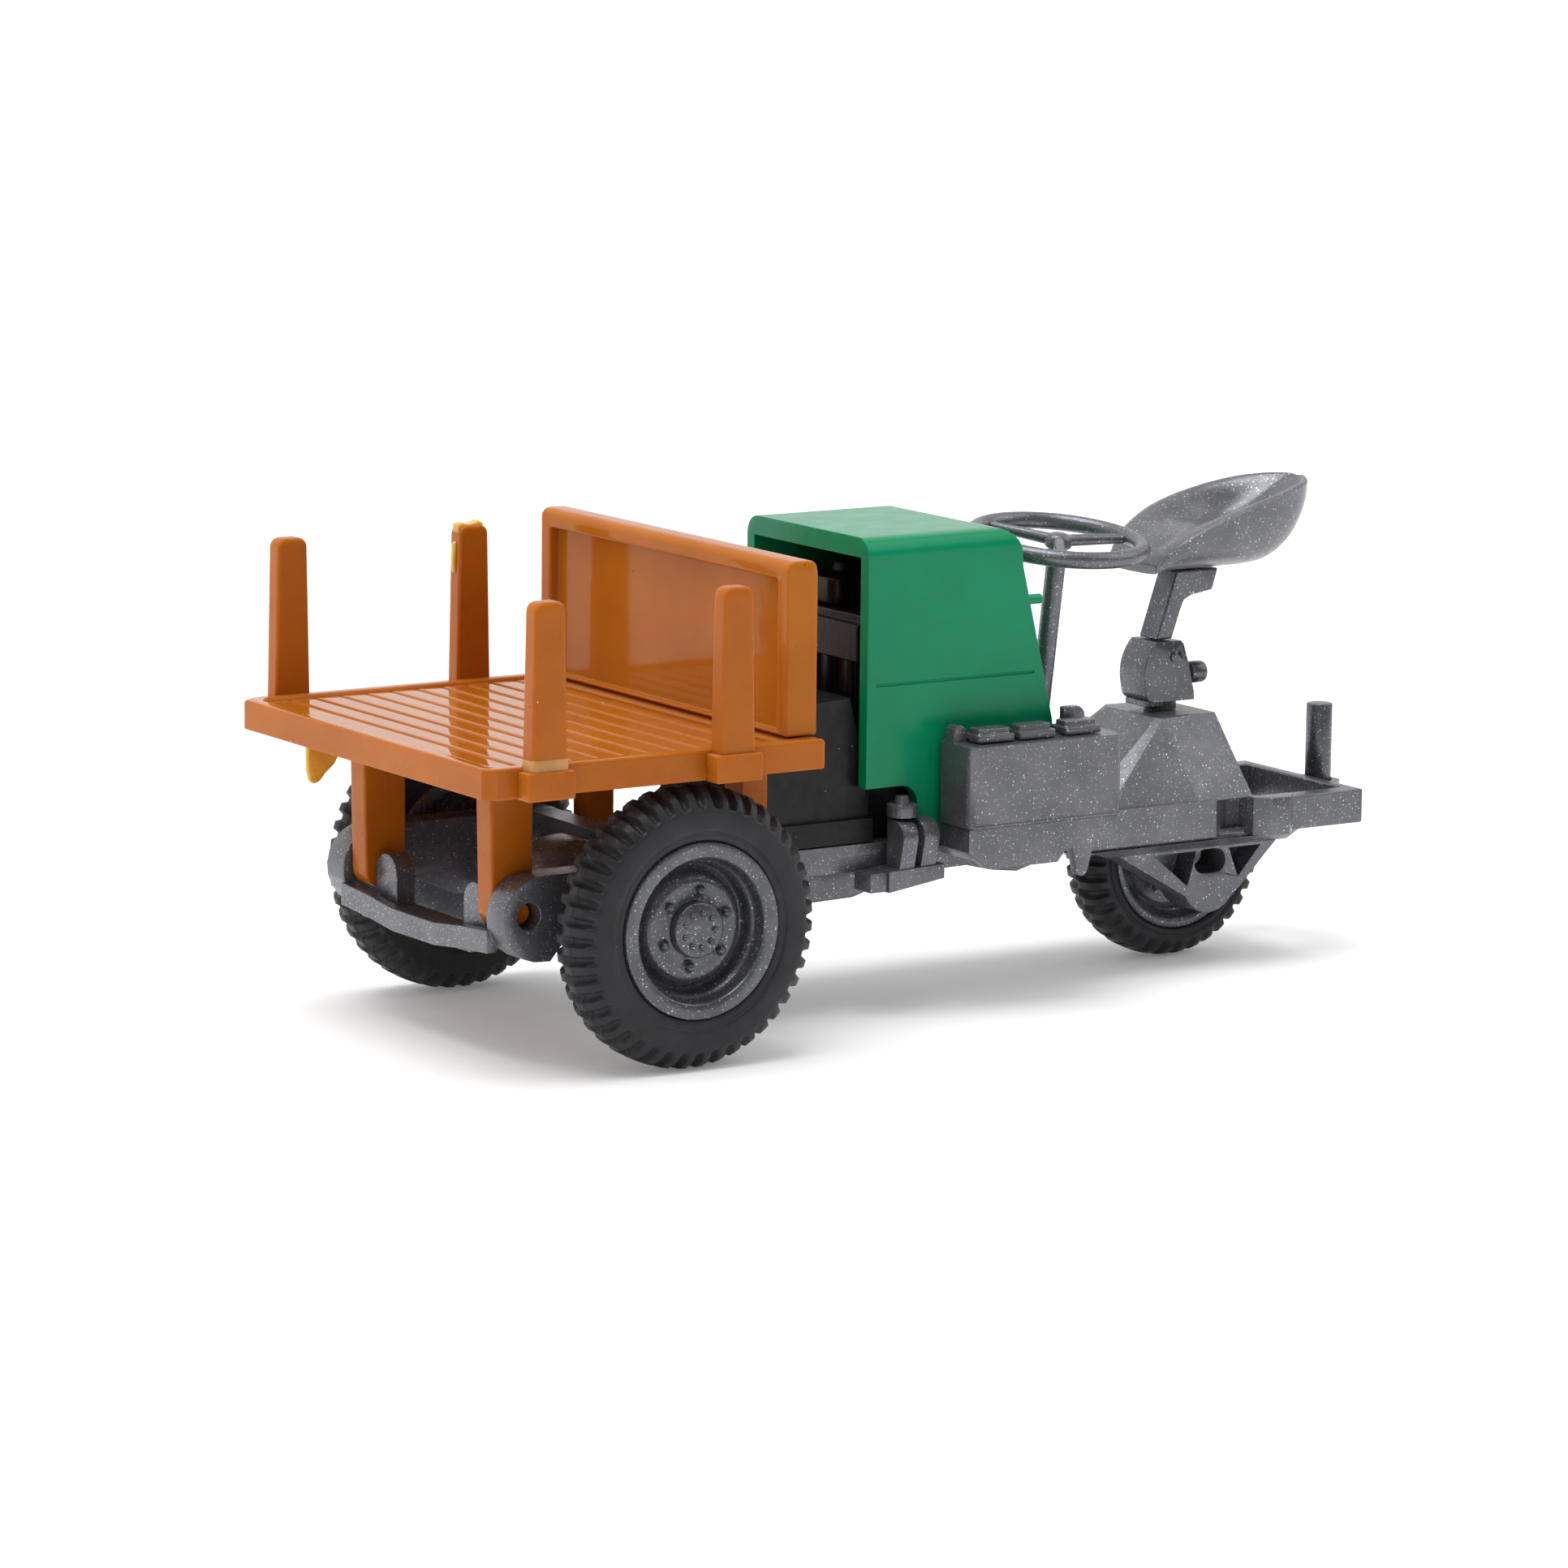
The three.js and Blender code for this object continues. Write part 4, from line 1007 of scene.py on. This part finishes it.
def flash_crest():
    """A ragged crest on the right rear stake, running a little way down its front edge."""
    stake = Span("stake_rear_right")
    x, y, z = stake.low.x, stake.mid.y, stake.high.z
    crest = [
        (x + 0.1, z - 0.25), (x + 1.0, z - 0.2), (x + 1.08, z + 0.02), (x + 0.9, z + 0.14),
        (x + 0.72, z + 0.06), (x + 0.5, z + 0.03), (x + 0.3, z + 0.09), (x + 0.12, z + 0.04)]
    bm = softened(prism(crest, y - CREST_HALF, y + CREST_HALF), 0.05, segments=3)
    run = [
        (x + 0.25, z - 1.6), (x + 0.12, z - 0.5), (x + 0.02, z - 0.6), (x - 0.02, z - 1.1),
        (x + 0.03, z - 1.55)]
    gather(bm, softened(prism(run, y - RUN_HALF, y + RUN_HALF), 0.04))
    make("flash_crest", bm, AMBER, "tipping_bed", smooth=BLOB_ANGLE)


flash_drop()
flash_band()
flash_crest()


# ---- floor, light and camera --------------------------------------------------------------
FLOOR_REACH = 6.0         # metres
PAPER_DARK, PAPER_LIGHT = (0.87, 0.87, 0.87), (0.9, 0.9, 0.9)
PAPER_GLOW = 0.14         # the paper glows a little by itself, painted light that keeps its shadows pale and lights the model from below
WHITE = (1, 1, 1, 1)


def paper_floor():
    mesh = bpy.data.meshes.new("floor")
    corners = [(x * FLOOR_REACH, y * FLOOR_REACH, 0)
               for x, y in ((-1, -1), (1, -1), (1, 1), (-1, 1))]
    mesh.from_pydata(corners, [], [(0, 1, 2, 3)])
    # The paper's emission is painted light: a glow of its own, not a lamp.
    paper = Shader("paper", Roughness=0.9, Specular_IOR_Level=0.2, Emission_Strength=PAPER_GLOW)
    paper.bsdf.inputs["Emission Color"].default_value = WHITE
    paper.set("Base Color", paper.mix(paper.noise(0.05), PAPER_DARK, PAPER_LIGHT))
    mesh.materials.append(paper.material)
    floor = bpy.data.objects.new("floor", mesh)
    bpy.context.scene.collection.objects.link(floor)


# Towards the light from the model, strength, and width in degrees.
LIGHTS = {
    "key": ((-0.18, 0.02, 0.98), 1.95, 40),
    "fill": ((0.75, -0.3, 0.6), 0.8, 50),
    "spark": ((-0.3, -0.4, 0.87), 0.10, 14),
}

# The tent's brightness is a sum of three parts. Along its axis, each goes from the first
# strength to the last between two places on the unit sphere (axis, from, to, first, last).
SKY = (("Z", 0.0, 0.85, 0.0, 0.16), ("Y", -0.5, 0.6, 0.10, 0.88), ("X", -0.9, 0.5, 0.28, 0.0))


def broad_light(name, towards, strength, width):
    """A soft light from far away."""
    data = bpy.data.lights.new(name, "SUN")
    data.energy = strength
    data.angle = math.radians(width)
    lamp = bpy.data.objects.new(name, data)
    lamp.rotation_euler = Vector(towards).to_track_quat("Z", "Y").to_euler()
    bpy.context.scene.collection.objects.link(lamp)


def studio():
    """A white tent, brightest beyond the model, with the main light from above."""
    world = bpy.data.worlds.new("studio")
    world.use_nodes = True
    tree = world.node_tree
    background = tree.nodes["Background"]
    background.inputs["Color"].default_value = WHITE
    place = tree.nodes.new("ShaderNodeTexCoord")
    split = tree.nodes.new("ShaderNodeSeparateXYZ")
    tree.links.new(place.outputs["Generated"], split.inputs[0])
    strength = None
    for axis, low, high, first, last in SKY:
        spread = tree.nodes.new("ShaderNodeMapRange")
        for name, value in (("From Min", low), ("From Max", high),
                            ("To Min", first), ("To Max", last)):
            spread.inputs[name].default_value = value
        tree.links.new(split.outputs[axis], spread.inputs["Value"])
        if strength is None:
            strength = spread.outputs[0]
            continue
        total = tree.nodes.new("ShaderNodeMath")
        tree.links.new(strength, total.inputs[0])
        tree.links.new(spread.outputs[0], total.inputs[1])
        strength = total.outputs[0]
    tree.links.new(strength, background.inputs["Strength"])
    bpy.context.scene.world = world
    for name, light in LIGHTS.items():
        broad_light(name, *light)
    bpy.context.scene.view_settings.view_transform = "Standard"


AZIMUTH, ELEVATION, ROLL = -33.0, 9.9, 0.62       # degrees
TARGET = (-3.346, 0, 7.07)                        # millimetres
DISTANCE = 0.210                                  # metres
LENS, SENSOR = 149.07, 36
CLIP_START = 0.01


def camera():
    """A long lens at the left front, a little above the deck."""
    azimuth, elevation, roll = (math.radians(angle) for angle in (AZIMUTH, ELEVATION, ROLL))
    back = Vector((
        math.sin(azimuth) * math.cos(elevation), -math.cos(azimuth) * math.cos(elevation),
        math.sin(elevation)))
    data = bpy.data.cameras.new("camera")
    data.sensor_width = SENSOR
    data.lens = LENS
    data.clip_start = CLIP_START
    seen = bpy.data.objects.new("camera", data)
    seen.matrix_world = (
        Matrix.Translation(Vector(TARGET) * MM + back * DISTANCE)
        @ (-back).to_track_quat("-Z", "Y").to_matrix().to_4x4()
        @ Matrix.Rotation(roll, 4, "Z"))
    bpy.context.scene.collection.objects.link(seen)
    bpy.context.scene.camera = seen


paper_floor()
studio()
camera()
